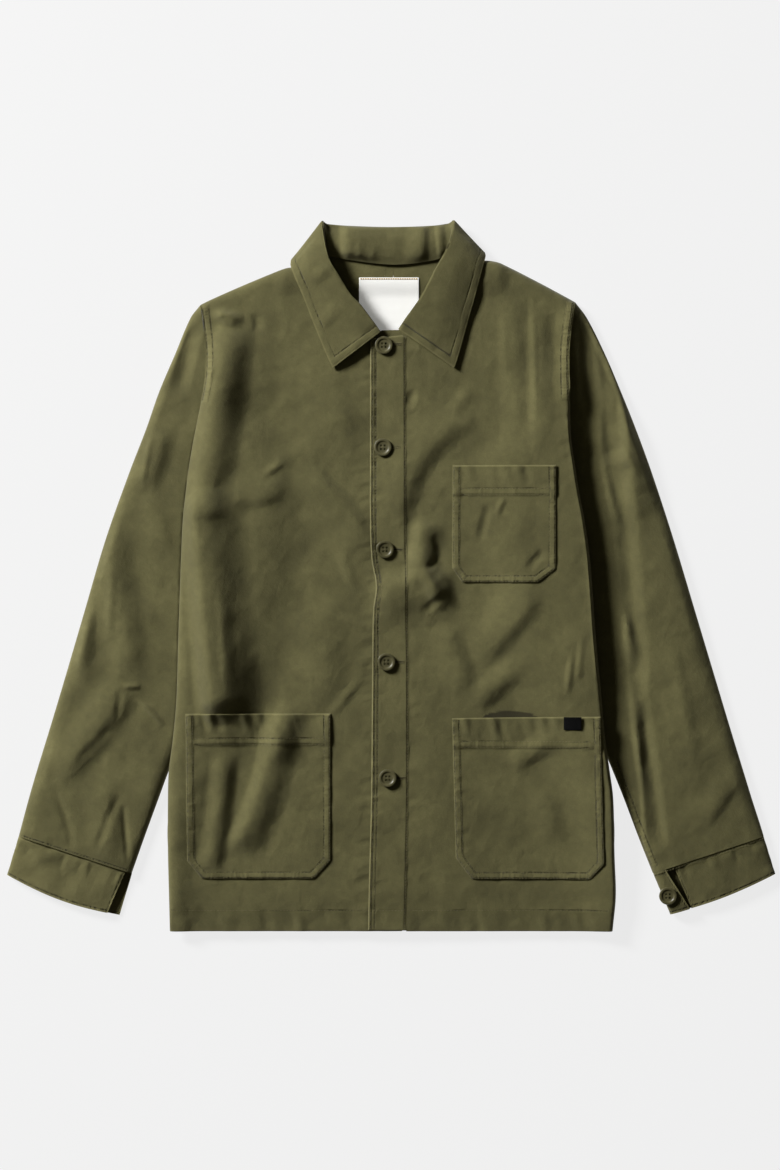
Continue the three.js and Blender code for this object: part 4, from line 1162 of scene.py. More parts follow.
@dataclass
class Marks:
    """The numbers that the cloth's material reads at each vertex."""

    rim: Array
    row: Array
    run: Array
    worn: Array
    # Painted shade: how much darker the colour is painted at each vertex, in place of shade.
    tone: Array

    @staticmethod
    def from_seams(x: Array, y: Array, rims: list[Array], seams: list[Seam]) -> "Marks":
        """Measures the vertices against the free edges and the seams.

        Args:
            x: The vertices' x.
            y: The vertices' y.
            rims: Lines of free edges.
            seams: The sewn lines.

        Returns:
            The marks.
        """
        rim = np.full(x.shape, 99.0)
        row = np.full(x.shape, 99.0)
        run = np.zeros(x.shape)
        worn = np.zeros(x.shape)
        closest = np.full(x.shape, np.inf)
        for path in rims:
            distance, here = nearest_on(path, x, y)
            rim = np.minimum(rim, distance)
            run = np.where(distance < closest, here, run)
            closest = np.minimum(closest, distance)
        for seam in seams:
            aside, here = seam.side_of(x, y)
            beside = seam.beside(here)
            for offset in seam.rows:
                row = np.minimum(row, np.abs(aside - offset) + 9.0 * (1.0 - beside))
            if seam.worn:
                low, high = seam.worn
                inside = smooth((aside - low) / 1.2 + 0.5) * smooth((high - aside) / 1.2 + 0.5) * beside
                worn = np.maximum(worn, inside * seam.wear)
            run = np.where(np.abs(aside) < closest, here, run)
            closest = np.minimum(closest, np.abs(aside))
        return Marks(rim, row, run, worn, np.zeros(x.shape))

    def as_dict(self) -> dict[str, Array]:
        """The marks by name."""
        return {"rim": self.rim, "row": self.row, "run": self.run, "worn": self.worn, "tone": self.tone}


@dataclass
class Panel:
    """A flat-laid piece of cloth between four lines, at heights that a function gives."""

    name: str
    node: str
    outline: Outline
    height: HeightAt
    thickness: float
    finish: WashedCotton | WovenRibbon
    slot: str
    flat: tuple[float, float]
    area: float
    rests_on: tuple[str, ...]
    seams: list[Seam] = field(default_factory=list)
    rims: list[Array] = field(default_factory=list)
    edge_rise: float = 0.0
    edge_radius: float = 1.6
    step: float = 2.3
    fine: tuple[float, ...] = (0.5, 1.1, 1.9, 3.0, 4.6)
    # Painted shade: a function that darkens the colour in place of shade.
    tone: Callable[[Array, Array], Array] | None = None

    def top(self, x: Array, y: Array) -> Array:
        """The cloth's upper side, with its seams' puckers and ridges and its rounded edges.

        Args:
            x: Places across.
            y: Places along.

        Returns:
            The heights.
        """
        z = self.height(x, y)
        for seam in self.seams:
            z = z + seam.puckers(x, y)
            if seam.worn:
                aside, run = seam.side_of(x, y)
                low, high = seam.worn
                inside = smooth((aside - low) / 1.6 + 0.5) * smooth((high - aside) / 1.6 + 0.5)
                z = z + seam.rise * inside * seam.beside(run)
        if self.edge_rise:
            rim = np.full(x.shape, 99.0)
            for path in self.rims:
                rim = np.minimum(rim, nearest_on(path, x, y)[0])
            z = z - self.edge_rise * (1.0 - rolled(rim, self.edge_radius))
        return z

    def build(self) -> bpy.types.Object:
        """Returns:
            The piece.
        """
        width, length = self.outline.widths()
        plan = self.outline.grid(spread(width, self.step, self.fine), spread(length, self.step, self.fine))
        x = plan[..., 0]
        y = plan[..., 1]
        points = np.stack([x, y, self.top(x, y)], axis=-1)
        piece = new_grid(self.name, points)
        marks = Marks.from_seams(x, y, self.rims, self.seams)
        if self.tone:
            marks.tone = self.tone(x, y)
        mark_vertices(piece, marks.as_dict())
        thicken(piece, self.thickness, Lay.UNDER)
        return declare_cloth(piece, self.node, self.finish.make(), self.slot, self.flat, self.area,
                             list(self.rests_on))

    def stitch_rows(self) -> list[tuple[Array, HeightAt]]:
        """The lines of the panel's stitches, with the heights that they lie at.

        Returns:
            Lines and heights.
        """
        rows = []
        for seam in self.seams:
            for offset in seam.rows:
                rows.append((moved_aside(seam.path, offset), self.top))
        return rows


@dataclass(frozen=True)
class Stitching:
    """Rows of topstitching, joined into one piece."""

    name: str
    finish: Thread
    pitch: float = 3.4
    length: float = 2.7
    width: float = 0.62
    height: float = 0.5
    sunk: float = 0.08

    def places(self, path: Array, top: HeightAt) -> Array:
        """The centre and axes of each stitch along a line.

        Args:
            path: The line's points.
            top: The height of the cloth.

        Returns:
            Each stitch's centre and axes.
        """
        total = run_lengths(path)[-1]
        count = max(int(total / self.pitch), 1)
        middle = (np.arange(count) + 0.5) * self.pitch
        start = along(path, (middle - self.length / 2.0) / total)
        end = along(path, (middle + self.length / 2.0) / total)
        ends = [np.column_stack([spot, top(spot[:, 0], spot[:, 1])]) for spot in (start, end)]
        centre = (ends[0] + ends[1]) / 2.0
        centre[:, 2] += self.height / 2.0 - self.sunk
        forward = ends[1] - ends[0]
        aside = np.cross(np.array([0.0, 0.0, 1.0]), forward)
        aside = aside / np.linalg.norm(aside, axis=1)[:, None]
        up = np.cross(forward, aside)
        up = up / np.linalg.norm(up, axis=1)[:, None]
        return np.stack([centre, forward, aside * self.width, up * self.height], axis=1)

    def build(self, rows: list[tuple[Array, HeightAt]], shape: Copied) -> bpy.types.Object:
        """Lays a stitch at every place of every row."""
        places = np.concatenate([self.places(*row) for row in rows])
        return sewn_piece(self.name, places, shape, self.finish)


@dataclass(frozen=True)
class Buttonholes:
    """The sewn slits of the placket, which run out from under the buttons' rims."""

    centres: tuple[tuple[float, float], ...] = (
        (-7.8, 251), (-8.9, 139.4), (-6.6, 29.2), (-5.0, -92.3), (-3.6, -217.6),
    )
    start: float = -4.0
    end: float = 19.5
    half_width: float = 1.0
    pitch: float = 0.85
    bar: float = 1.7
    thread: float = 0.75
    raised: float = 0.35
    slit: float = 1.1

    def laid(self, spots: Array, axes: Array, top: HeightAt) -> Array:
        """Places at spots on the cloth, all with the same axes."""
        level = top(spots[:, 0], spots[:, 1]) + self.raised / 2.0
        middle = np.column_stack([spots, level])[:, None]
        return np.concatenate([middle, np.repeat(axes[None], len(spots), axis=0)], axis=1)

    def bars(self, top: HeightAt) -> Array:
        """The small cross stitches on both sides of each slit.

        Args:
            top: The height of the cloth.

        Returns:
            The stitches' places.
        """
        steps = np.arange(self.start, self.end, self.pitch)
        spots = np.array([
            (x + step, y + aside) for x, y in self.centres
            for aside in (-self.half_width, self.half_width) for step in steps
        ])
        axes = np.array([(0.0, self.bar, 0.0), (-self.thread, 0.0, 0.0), (0.0, 0.0, self.thread)])
        return self.laid(spots, axes, top)

    def slits(self, top: HeightAt) -> Array:
        """Dark slivers in the gaps between the two rows, as painted shade for the slits."""
        middle = (self.start + self.end) / 2.0
        spots = np.array([(x + middle, y) for x, y in self.centres])
        axes = np.diag([self.end - self.start, self.slit, self.thread])
        return self.laid(spots, axes, top)


def sewn_piece(name: str, places: Array, shape: Copied, finish: Thread) -> bpy.types.Object:
    """Lays copies of a stitch as one piece.

    Args:
        name: The piece's name.
        places: The places that the stitches take.
        shape: The stitch.
        finish: The thread.

    Returns:
        The piece.
    """
    piece = shape.lay(name, places)
    piece.data.materials.append(finish.make())
    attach(piece, "root")
    LOG.info("%s: %d faces", name, len(piece.data.polygons))
    return piece


def line(*corners: tuple[float, float]) -> Array:
    """A line through corners."""
    return np.array(corners, float)


def fine_line(corners: Array, step: float = 3.0) -> Array:
    """The same line with points at even steps."""
    length = run_lengths(corners)[-1]
    return along(corners, np.linspace(0.0, 1.0, max(int(length / step), 2)))


NECK_GAP = 2.2
NECK_MIDDLE = (-2.0, 312.0)
CENTRE_BACK_X = 2.5
STAND_EDGE_X = 12.0
SHOULDER_TIP_Y = {"right": 294.0, "left": 297.0}

PLACKET_EDGES = Table("y right left", (
    (259, -22.5, 16.4), (120, -22.7, 16.6), (61, -22.7, 17.0), (18, -21.0, 17.4), (-10, -16.4, 18.0),
    (-37, -19.4, 18.2), (-120, -20.5, 19.2), (-240, -21.6, 19.0), (-328, -23.8, 17.4),
    (-382.5, -24.8, 16.2),
))

COLLAR_SECTIONS = Table("roll_x roll_y roll_z rim_x rim_y rim_z neck_x neck_y neck_z turn", (
    (-12, 263.5, 16.4, -63, 225, 15.0, -21, 261.5, 14.2, 90),
    (-20, 274.5, 17.6, -69.5, 239, 14.8, -34, 270, 14.2, 90),
    (-33.5, 292.5, 18.6, -77.5, 258, 14.6, -51, 288, 13.8, 90),
    (-44.5, 304, 19.2, -85.5, 278, 14.4, -62, 304, 13.4, 90),
    (-57.5, 325, 20, -96, 305, 14.4, -71, 323, 12, 90),
    (-68.5, 346, 20, -104.5, 325, 14, -75, 336, 10, 80),
    (-73.5, 380, 12.5, -108, 338, 8.5, -72, 342.5, 7.4, 0),
    (-68, 380.5, 5, -101, 343, 2.2, -64, 345.5, 6.8, -80),
    (-45, 378.8, 4, -58, 328, 1.3, -46, 343, 6.2, -90),
    (0, 377.5, 4, 0, 326, 1.3, 2, 337.5, 6.2, -90),
    (42, 378.8, 4, 54, 329, 1.3, 44, 342, 6.2, -90),
    (61, 381, 5, 93, 349, 2.2, 60, 347, 6.8, -80),
    (67, 381.5, 12.5, 101.5, 347.5, 9.5, 67, 345, 8, 0),
    (61.5, 356, 22, 98, 332, 17.2, 67, 336, 13, 80),
    (47.5, 329, 23, 90.5, 303, 16.6, 61, 322, 13.6, 90),
    (34, 303, 22, 83, 277, 15.6, 52, 302, 14.6, 90),
    (25.5, 290, 21, 77, 255, 15.6, 41, 285, 14.8, 90),
    (15.5, 276, 18.8, 72, 237, 15.8, 27, 269, 15, 90),
    (9, 266, 16.8, 68, 225, 16.0, 17, 262, 14.8, 90),
))
FIRST_BACK_SECTION = 6
LAST_BACK_SECTION = 12


def neck_line(first: int, last: int) -> Array:
    """The neck's sewn edge between two collar sections, moved out by the seam's gap."""
    points = COLLAR_SECTIONS.points("neck_x", "neck_y")[first:last + 1]
    away = points - np.array(NECK_MIDDLE)
    return points + away / np.linalg.norm(away, axis=1)[:, None] * NECK_GAP


def side_line(side: Side, top_y: float) -> Array:
    """The body's side edge, from the hem up."""
    y = np.linspace(BODY.hem_y, top_y, 160)
    return np.stack([side.body_edge(y), y], axis=1)


def shoulder_line(start: float, end: float) -> Array:
    """The shoulder line between two X."""
    x = np.linspace(start, end, 60)
    return np.stack([x, SHOULDER_LINE.read("x", "y", x)], axis=1)


def placket_line(key: str, gap: float, top_y: float) -> Array:
    """One edge of the placket, from the hem up, moved by a gap."""
    y = np.linspace(BODY.hem_y, top_y, 140)
    return np.stack([PLACKET_EDGES.read("y", key, y) + gap, y], axis=1)


OLIVE = WashedCotton("olive_cotton")
OLIVE_INSIDE = WashedCotton("olive_cotton_inside", level=0.5, rim_wear=0.1, band_wear=0.1)
OLIVE_CUFF = WashedCotton("olive_cotton_cuff", level=0.56)
OLIVE_THREAD = Thread("olive_thread")
HEM_SEAM_Y = -361.0
HEM_MIDDLE = np.array([0.0, -13.0])


def hem_painted_shade(x: Array, y: Array) -> Array:
    """Painted shade: the turned hem is painted a little darker."""
    return -0.07 * smooth((HEM_SEAM_Y - y) / 3.0)


def mouth_shade(x: Array, y: Array) -> Array:
    """The hem's painted shade, with painted shade for the shadowed inside of the gaping hip pocket."""
    across = np.clip(np.abs(x - 128.0) / 29.0, 0.0, 1.0)
    depth = 7.5 * np.sqrt(1.0 - across * across)
    # The crescent of painted shade in the pocket's mouth.
    inside = smooth((depth - (y + 153.0)) / 1.5) * smooth((y + 156.0) / 2.0) * (across < 1.0)
    return hem_painted_shade(x, y) - 0.8 * inside


def right_front() -> Panel:
    """The wearer's right front, which lies under the placket.

    Returns:
        The panel.
    """
    tip_y = SHOULDER_TIP_Y["right"]
    edge = side_line(RIGHT, tip_y)
    neck = neck_line(0, FIRST_BACK_SECTION)[::-1]
    top = np.vstack([shoulder_line(edge[-1, 0], neck[0, 0] - 2.0), neck, line((-10, 266), (12, 266.5))])
    centre = line((STAND_EDGE_X, BODY.hem_y), (STAND_EDGE_X, 266.5))
    bottom = line(tuple(edge[0]), (STAND_EDGE_X, BODY.hem_y))
    armhole = edge[edge[:, 1] > 186.0]
    hem = line((STAND_EDGE_X, HEM_SEAM_Y), (-240.0, HEM_SEAM_Y))
    seams = [
        Seam(armhole[::-1], (1.8, 8.0), (1.8, 8.0), 1.0, 0.5, 0.5, 7.0, 8.0, 21),
        Seam(hem, (0.0,), None, 0.0, 0.0, 0.3, 6.0, 6.0, 22),
        Seam(hem + HEM_MIDDLE, (), None, 0.0, 0.0, 1.5, 9.0, 11.0, 24),
        Seam(placket_line("right", 0.0, 250.0)[::-1], (), None, 0.0, 0.0, 0.8, 5.0, 12.0, 23),
    ]
    outline = Outline(bottom, top, edge, centre, True)
    return Panel("front_right_cloth", "front_right", outline, BODY.right_top, BODY.cloth, OLIVE, "cloth",
                 (0.29, 0.74), 0.172, ("back_right",), seams, [bottom], 0.8, tone=hem_painted_shade)


def left_front() -> Panel:
    """The wearer's left front, which carries the placket and the chest pocket.

    Returns:
        The panel.
    """
    tip_y = SHOULDER_TIP_Y["left"]
    edge = side_line(LEFT, tip_y)
    placket = placket_line("left", SEAM_GAP, 259.0)
    neck = neck_line(LAST_BACK_SECTION, len(COLLAR_SECTIONS.rows) - 1)[::-1]
    top = np.vstack([placket[-1:], neck, shoulder_line(neck[-1, 0] + 2.0, edge[-1, 0])])
    bottom = line(tuple(placket[0]), tuple(edge[0]))
    armhole = edge[edge[:, 1] > 186.0]
    under_arm = edge[(edge[:, 1] > 118.0) & (edge[:, 1] < 200.0)]
    hem = line((240.0, HEM_SEAM_Y), (18.0, HEM_SEAM_Y))
    seams = [
        Seam(armhole, (2.2, 9.0), (2.2, 9.0), 1.0, 0.5, 0.6, 6.0, 9.0, 31),
        Seam(under_arm, (), None, 0.0, 0.0, 1.2, 7.0, 16.0, 32),
        Seam(hem, (0.0,), None, 0.0, 0.0, 0.3, 6.0, 6.0, 33),
        Seam(hem + HEM_MIDDLE, (), None, 0.0, 0.0, 1.3, 9.0, 11.0, 35),
        Seam(placket, (), None, 0.0, 0.0, 0.45, 7.0, 12.0, 34),
    ]
    outline = Outline(bottom, top, placket, edge, True)
    return Panel("front_left_cloth", "front_left", outline, BODY.left_top, BODY.cloth, OLIVE, "cloth",
                 (0.27, 0.74), 0.160, ("back_left",), seams, [bottom], 0.8, tone=mouth_shade)


def back_half(side: Side) -> Panel:
    """One half of the back, which shows inside the neck and from below.

    Args:
        side: The side.

    Returns:
        The panel.
    """
    centre_x = CENTRE_BACK_X + side.sign * SEAM_GAP / 2.0
    edge = side_line(side, SHOULDER_TIP_Y[side.name])
    centre = line((centre_x, BODY.hem_y), (centre_x, 336.0))
    neck = neck_line(FIRST_BACK_SECTION, LAST_BACK_SECTION)
    neck = neck[side.sign * (neck[:, 0] - centre_x) > 1.0]
    if side is RIGHT:
        top = np.vstack([shoulder_line(edge[-1, 0], neck[0, 0] - 2.0), neck, centre[-1:]])
        outline = Outline(line(tuple(edge[0]), tuple(centre[0])), top, edge, centre, True)
    else:
        top = np.vstack([centre[-1:], neck, shoulder_line(neck[-1, 0] + 2.0, edge[-1, 0])])
        outline = Outline(line(tuple(centre[0]), tuple(edge[0])), top, centre, edge, True)
    beside = line((centre_x + side.sign * 0.5, 300.0), (centre_x + side.sign * 0.5, 336.0))
    seams = [Seam(beside, (9.0,), None, 0.0, 0.0, 0.5, 9.0, 8.0, 41)] if side is RIGHT else []
    return Panel(f"back_{side.name}_cloth", f"back_{side.name}", outline, BODY.back_top, BODY.back_cloth,
                 OLIVE_INSIDE, "cloth_inside", (0.26, 0.76), 0.176, ("floor",), seams, [], 0.0, step=4.0)


@dataclass(frozen=True)
class Placket:
    """The double band on the left front's edge, with its buttonholes."""

    top_points: tuple[tuple[float, float], ...] = ((-21.0, 257.0), (12.0, 260.5))

    def panel(self) -> Panel:
        """The band as a panel.

        Returns:
            The panel.
        """
        right = placket_line("right", 0.0, 256.0)
        left = placket_line("left", 0.0, 258.5)
        right[:, 1] = np.maximum(right[:, 1], -382.5)
        left[:, 1] = np.maximum(left[:, 1], -382.5)
        top = np.vstack([right[-1:], line(*self.top_points), left[-1:]])
        bottom = np.vstack([right[:1], left[:1]])
        seams = [
            Seam(right[::-1], (2.8, 6.4), (0.3, 2.4), 0.9, 0.5, 0.6, 5.0, 8.0, 51),
            Seam(left, (1.5,), (0.0, 1.2), 0.5, 0.0, 0.3, 5.0, 10.0, 52),
            Seam(line((17.0, HEM_SEAM_Y), (-24.0, HEM_SEAM_Y)), (0.0,), None, 0.0, 0.0, 0.5, 9.0, 10.0, 53),
        ]
        outline = Outline(bottom, top, right, left)
        return Panel("placket_cloth", "placket", outline, BODY.placket_top, BODY.placket_cloth, OLIVE,
                     "cloth", (0.042, 0.645), 0.0256, ("front_right",), seams, [right, bottom, top],
                     1.1, step=2.2)


MOUTH_MIDDLE = np.array([0.0, 8.0])


@dataclass(frozen=True)
class PatchPocket:
    """A patch pocket with a turned hem, sewn down by two rows."""

    name: str
    corners: tuple[tuple[float, float], ...]
    hem_y: float
    front: HeightAt
    front_node: str
    flat: tuple[float, float]
    area: float
    seed: int
    mouth_sag: float = 0.0
    hem_extra: float = 1.0
    puckered: float = 0.7

    def lines(self) -> tuple[Array, Array, Array, Array]:
        """The outline's sides from its six corners: left, bottom, right and top.

        Returns:
            The four lines.
        """
        low_left, first, second, low_right = self.corners[1:5]
        left = fine_line(line(low_left, self.corners[0]))
        bottom = fine_line(line(low_left, first, second, low_right))
        right = fine_line(line(low_right, self.corners[5]))
        top = fine_line(line(self.corners[0], self.corners[5]))
        return left, bottom, right, top

    def height(self, x: Array, y: Array) -> Array:
        """The pocket's upper side over the front, thicker at its hem."""
        hem = self.hem_extra * smooth((y - self.hem_y) / 2.0 + 0.5)
        return self.front(x, y) + SEAM_GAP + BODY.pocket_cloth + hem

    def panel(self) -> Panel:
        """The pocket as a panel.

        Returns:
            The panel.
        """
        left, bottom, right, top = self.lines()
        around = np.vstack([left[::-1], bottom[1:], right[1:]])
        inner_hem = line((self.corners[0][0] + 8.0, self.hem_y), (self.corners[5][0] - 8.0, self.hem_y))
        seams = [
            Seam(around, (1.4, 7.6), (1.4, 7.6), 0.7, 0.4, 0.5, 7.0, 10.0, self.seed),
            Seam(inner_hem[::-1], (0.0, -6.8), (-6.8, -0.6), 0.5, 0.2, 0.3, 5.0, 8.0, self.seed + 1),
            Seam(top[::-1] - MOUTH_MIDDLE, (), None, 0.0, 0.0, self.puckered, 7.5, 13.0, self.seed + 2),
        ]
        outline = Outline(bottom, top, left, right)
        rims = [left, bottom, right, top]
        return Panel(f"{self.name}_cloth", self.name, outline, self.height, BODY.pocket_cloth, OLIVE, "cloth",
                     self.flat, self.area, (self.front_node,), seams, rims, 1.2, step=1.9)


POCKETS = (
    PatchPocket("chest_pocket",
                ((66.5, 120), (66.3, 8.6), (77.3, -7), (158.4, -7), (178, 8), (178, 120)),
                88.0, BODY.left_top, "front_left", (0.112, 0.127), 0.0141, 61, puckered=1.1),
    PatchPocket("hip_pocket_right",
                ((-221.4, -148), (-220, -307), (-204, -327), (-83, -327), (-64.8, -307), (-64.8, -148)),
                -181.5, BODY.right_top, "front_right", (0.157, 0.179), 0.0276, 66, puckered=3.0),
    PatchPocket("hip_pocket_left",
                ((66, -153), (70, -304), (87.5, -327.5), (215, -328), (230.5, -310.5), (226, -151)),
                -185.0, BODY.left_top, "front_left", (0.163, 0.177), 0.0280, 71, puckered=1.9),
)


# Sleeves and cuffs


@dataclass(frozen=True)
class SleeveForm:
    """The form of both sleeves, as their solids have it."""

    edge_z: float = 3.4
    top_z: float = 10.9
    edge_radius: float = 15.0
    under_body_z: float = 7.3
    rise_above: float = 4.0
    rise_length: float = 44.0
    rise_height: float = 26.0
    rise_blend: float = 1.4
    fold_fade: float = 12.0
    under_radius: float = 7.0
    cloth: float = 1.3
    rings: Table = Table("outer inner curve", (
        (294, 112, 1), (270, 96, 0.85), (240, 75, 0.68), (208, 50, 0.46), (176, 24, 0.25),
        (144, -2, 0.1), (113, -27, 0), (82, -51, 0), (51, -74, 0), (20, -97, 0), (-10, -119, 0),
        (-40, -141, 0), (-69, -162, 0), (-97, -182, 0), (-124, -202, 0), (-155, -226, 0),
        (-190, -253, 0), (-222, -277, 0), (-253, -300, 0), (-281, -321, 0),
    ))
    crumples: tuple[Crumple, ...] = (
        Crumple(14, 32.0, 0.8), Crumple(15, 16.0, 0.34), Crumple(16, 8.5, 0.14),
    )

    def creases(self, x: Array, y: Array) -> Array:
        """All the folds of the sleeves."""
        total = fold_heights(SLEEVE_FOLDS, x, y) + fold_heights(SMALL_SLEEVE_FOLDS, x, y)
        for crumple in self.crumples:
            total = total + crumple.at(x, y)
        return total

    def top(self, side: Side, x: Array, y: Array, inside: Array) -> Array:
        """The height of the upper side, at a distance inside the sleeve's edges.

        Args:
            side: The side.
            x: Places across.
            y: Places along.
            inside: The distance from the edges.

        Returns:
            The heights.
        """
        folds = self.creases(x, y) * smooth(inside / self.fold_fade)
        lift = (self.top_z - self.edge_z) * rolled(inside, self.edge_radius) + folds
        beyond = side.sign * (x - side.body_edge(y)) - side.rise_start
        above = y - side.tuck_top - self.rise_above
        free = np.maximum(smooth(beyond / side.rise_width), smooth(above / self.rise_length))
        limit = self.under_body_z + self.rise_height * free
        surface = self.edge_z + np.maximum(lift, 0.0)
        blend = self.rise_blend
        lower = -blend * np.logaddexp(-surface / blend, -limit / blend)
        return np.maximum(lower, np.minimum(self.edge_z, surface))

    def under(self, inside: Array) -> Array:
        """The height of the underside."""
        return self.edge_z * (1.0 - rolled(inside, self.under_radius))


SLEEVES = SleeveForm()
LAST_RING = len(SLEEVES.rings.rows) - 1.0


@dataclass(frozen=True)
class Sleeve:
    """One sleeve: a flattened tube from the armhole to the cuff."""

    side: Side
    ring_step: float = 2.3
    across_top: int = 64
    length: float = 620.0
    flat: tuple[float, float] = (0.36, 0.56)
    area: float = 0.150

    def armhole(self) -> Array:
        """The line where the sleeve meets the body, from the shoulder tip down.

        Returns:
            The line's points.
        """
        side = self.side
        tip = SHOULDER_TIP_Y[side.name]
        y = np.concatenate([np.linspace(tip, side.tuck_top, 60),
                            np.linspace(side.tuck_top, side.tuck_bottom, 40)[1:]])
        x = np.where(y >= side.tuck_top, side.body_edge(y), side.sleeve_inner(y + 1e-6))
        return np.stack([x + side.sign * SEAM_GAP, y], axis=1)

    def plan(self, ring: Array, across: Array) -> Array:
        """The sleeve's points seen from above.

        Args:
            ring: Ring numbers, from 0 at the armhole.
            across: Shares from the outer to the inner edge.

        Returns:
            Rows of x and y.
        """
        numbers = np.arange(len(SLEEVES.rings.rows), dtype=float)
        outer_ends = SLEEVES.rings.column("outer")
        outer_ends[0] = SHOULDER_TIP_Y[self.side.name]
        outer_y = read_curve(numbers, outer_ends, ring)
        inner_y = read_curve(numbers, SLEEVES.rings.column("inner"), ring)
        curve = np.interp(ring, numbers, SLEEVES.rings.column("curve"))[:, None, None]
        edges = self.side.sleeve_edges
        outer = np.stack([edges.read("y", "outer", outer_y), outer_y], axis=1)[:, None]
        inner = np.stack([edges.read("y", "inner", inner_y), inner_y], axis=1)[:, None]
        armhole = self.armhole()
        line_points = along(armhole, across)
        tip = armhole[0]
        foot = armhole[-1]
        share = ((tip[1] - line_points[:, 1]) / (tip[1] - foot[1]))[None, :, None]
        bend = (line_points[None] - mixed(tip, foot, share)) * curve
        return mixed(outer, inner, share) + bend

    def surface(self) -> tuple[Array, Array]:
        """The tube's rows of points, and the plan of its upper side.

        Returns:
            Those arrays, in that order.
        """
        ring = spread(self.length, self.ring_step, (0.6, 1.4, 2.4, 3.6, 5.2)) * LAST_RING
        ease = 0.5 - 0.5 * np.cos(np.linspace(0.0, math.pi, self.across_top))
        over = mixed(np.linspace(0.0, 1.0, self.across_top), ease, 0.55)
        ends = (0.0, over[1], over[2], over[-3], over[-2], 1.0)
        under = np.unique([*ends, *over[::-1][::4]])[::-1]
        across = np.concatenate([over, under[1:]])
        plan = self.plan(ring, across)
        first = plan[:, :1]
        last = plan[:, len(over) - 1:len(over)]
        inside = np.minimum(np.linalg.norm(plan - first, axis=2), np.linalg.norm(plan - last, axis=2))
        x = plan[..., 0]
        y = plan[..., 1]
        z = SLEEVES.top(self.side, x, y, inside)
        below = np.arange(len(across)) >= len(over)
        z = np.where(below[None, :], np.minimum(SLEEVES.under(inside), SLEEVES.edge_z), z)
        return np.stack([x, y, z], axis=-1), plan[:, :len(over)]

    def seams(self) -> list[Seam]:
        """The sewn lines that show on the sleeve.

        Returns:
            The seams.
        """
        foot = self.plan(np.array([LAST_RING]), np.linspace(0.0, 1.0, 60))[0]
        cuff_line = foot if self.side is RIGHT else foot[::-1]
        seams = [Seam(cuff_line, (self.side.sign * -2.0,), None, 0.0, 0.0, 0.9, 9.0, 12.0, 81)]
        if self.side is LEFT:
            y = np.linspace(-198.0, -318.0, 40)
            inner = np.stack([self.side.sleeve_edges.read("y", "inner", y), y], axis=1)
            seams.append(Seam(inner, (1.6, 7.6), (1.6, 7.6), 0.8, 0.3, 0.4, 7.0, 8.0, 82))
        return seams

    def build(self) -> bpy.types.Object:
        """Returns:
            The piece.
        """
        points, plan = self.surface()
        seams = self.seams()
        x = points[..., 0]
        y = points[..., 1]
        marks = Marks.from_seams(x, y, [plan[0]], seams)
        marks.rim = marks.rim + 1.0
        lifted = points.copy()
        top_count = plan.shape[1]
        for seam in seams:
            lifted[:, 1:top_count - 1, 2] += seam.puckers(x, y)[:, 1:top_count - 1] * np.clip(
                points[:, 1:top_count - 1, 2] / SLEEVES.top_z, 0.0, 1.0)
        values = marks.as_dict()
        if self.side is LEFT:
            lifted = lifted[::-1]
            values = {name: mark[::-1] for name, mark in values.items()}
        piece = new_grid(f"sleeve_{self.side.name}_cloth", lifted[::-1])
        mark_vertices(piece, {name: mark[::-1] for name, mark in values.items()})
        close_tube(piece)
        thicken(piece, SLEEVES.cloth, Lay.UNDER)
        rests = [f"back_{self.side.name}_cloth", "floor"]
        return declare_cloth(piece, f"sleeve_{self.side.name}", OLIVE.make(), "cloth", self.flat,
                             self.area, rests)

    def heights(self) -> HeightAt:
        """A function that reads the upper side's height anywhere on the sleeve.

        Returns:
            The function.
        """
        _, plan = self.surface()
        outer = plan[:, 0]
        inner = plan[:, -1]
        seams = self.seams()

        def top(x: Array, y: Array) -> Array:
            """The height of the sleeve's upper side.

            Args:
                x: Places across.
                y: Places along.

            Returns:
                The heights.
            """
            inside = np.minimum(nearest_on(outer, x, y)[0], nearest_on(inner, x, y)[0])
            z = SLEEVES.top(self.side, x, y, inside)
            for seam in seams:
                z = z + seam.puckers(x, y) * np.clip(z / SLEEVES.top_z, 0.0, 1.0)
            return z

        return top

    def stitch_rows(self) -> list[tuple[Array, HeightAt]]:
        """The rows of stitches on the sleeve."""
        top = self.heights()
        return [(moved_aside(seam.path, offset), top) for seam in self.seams() for offset in seam.rows]


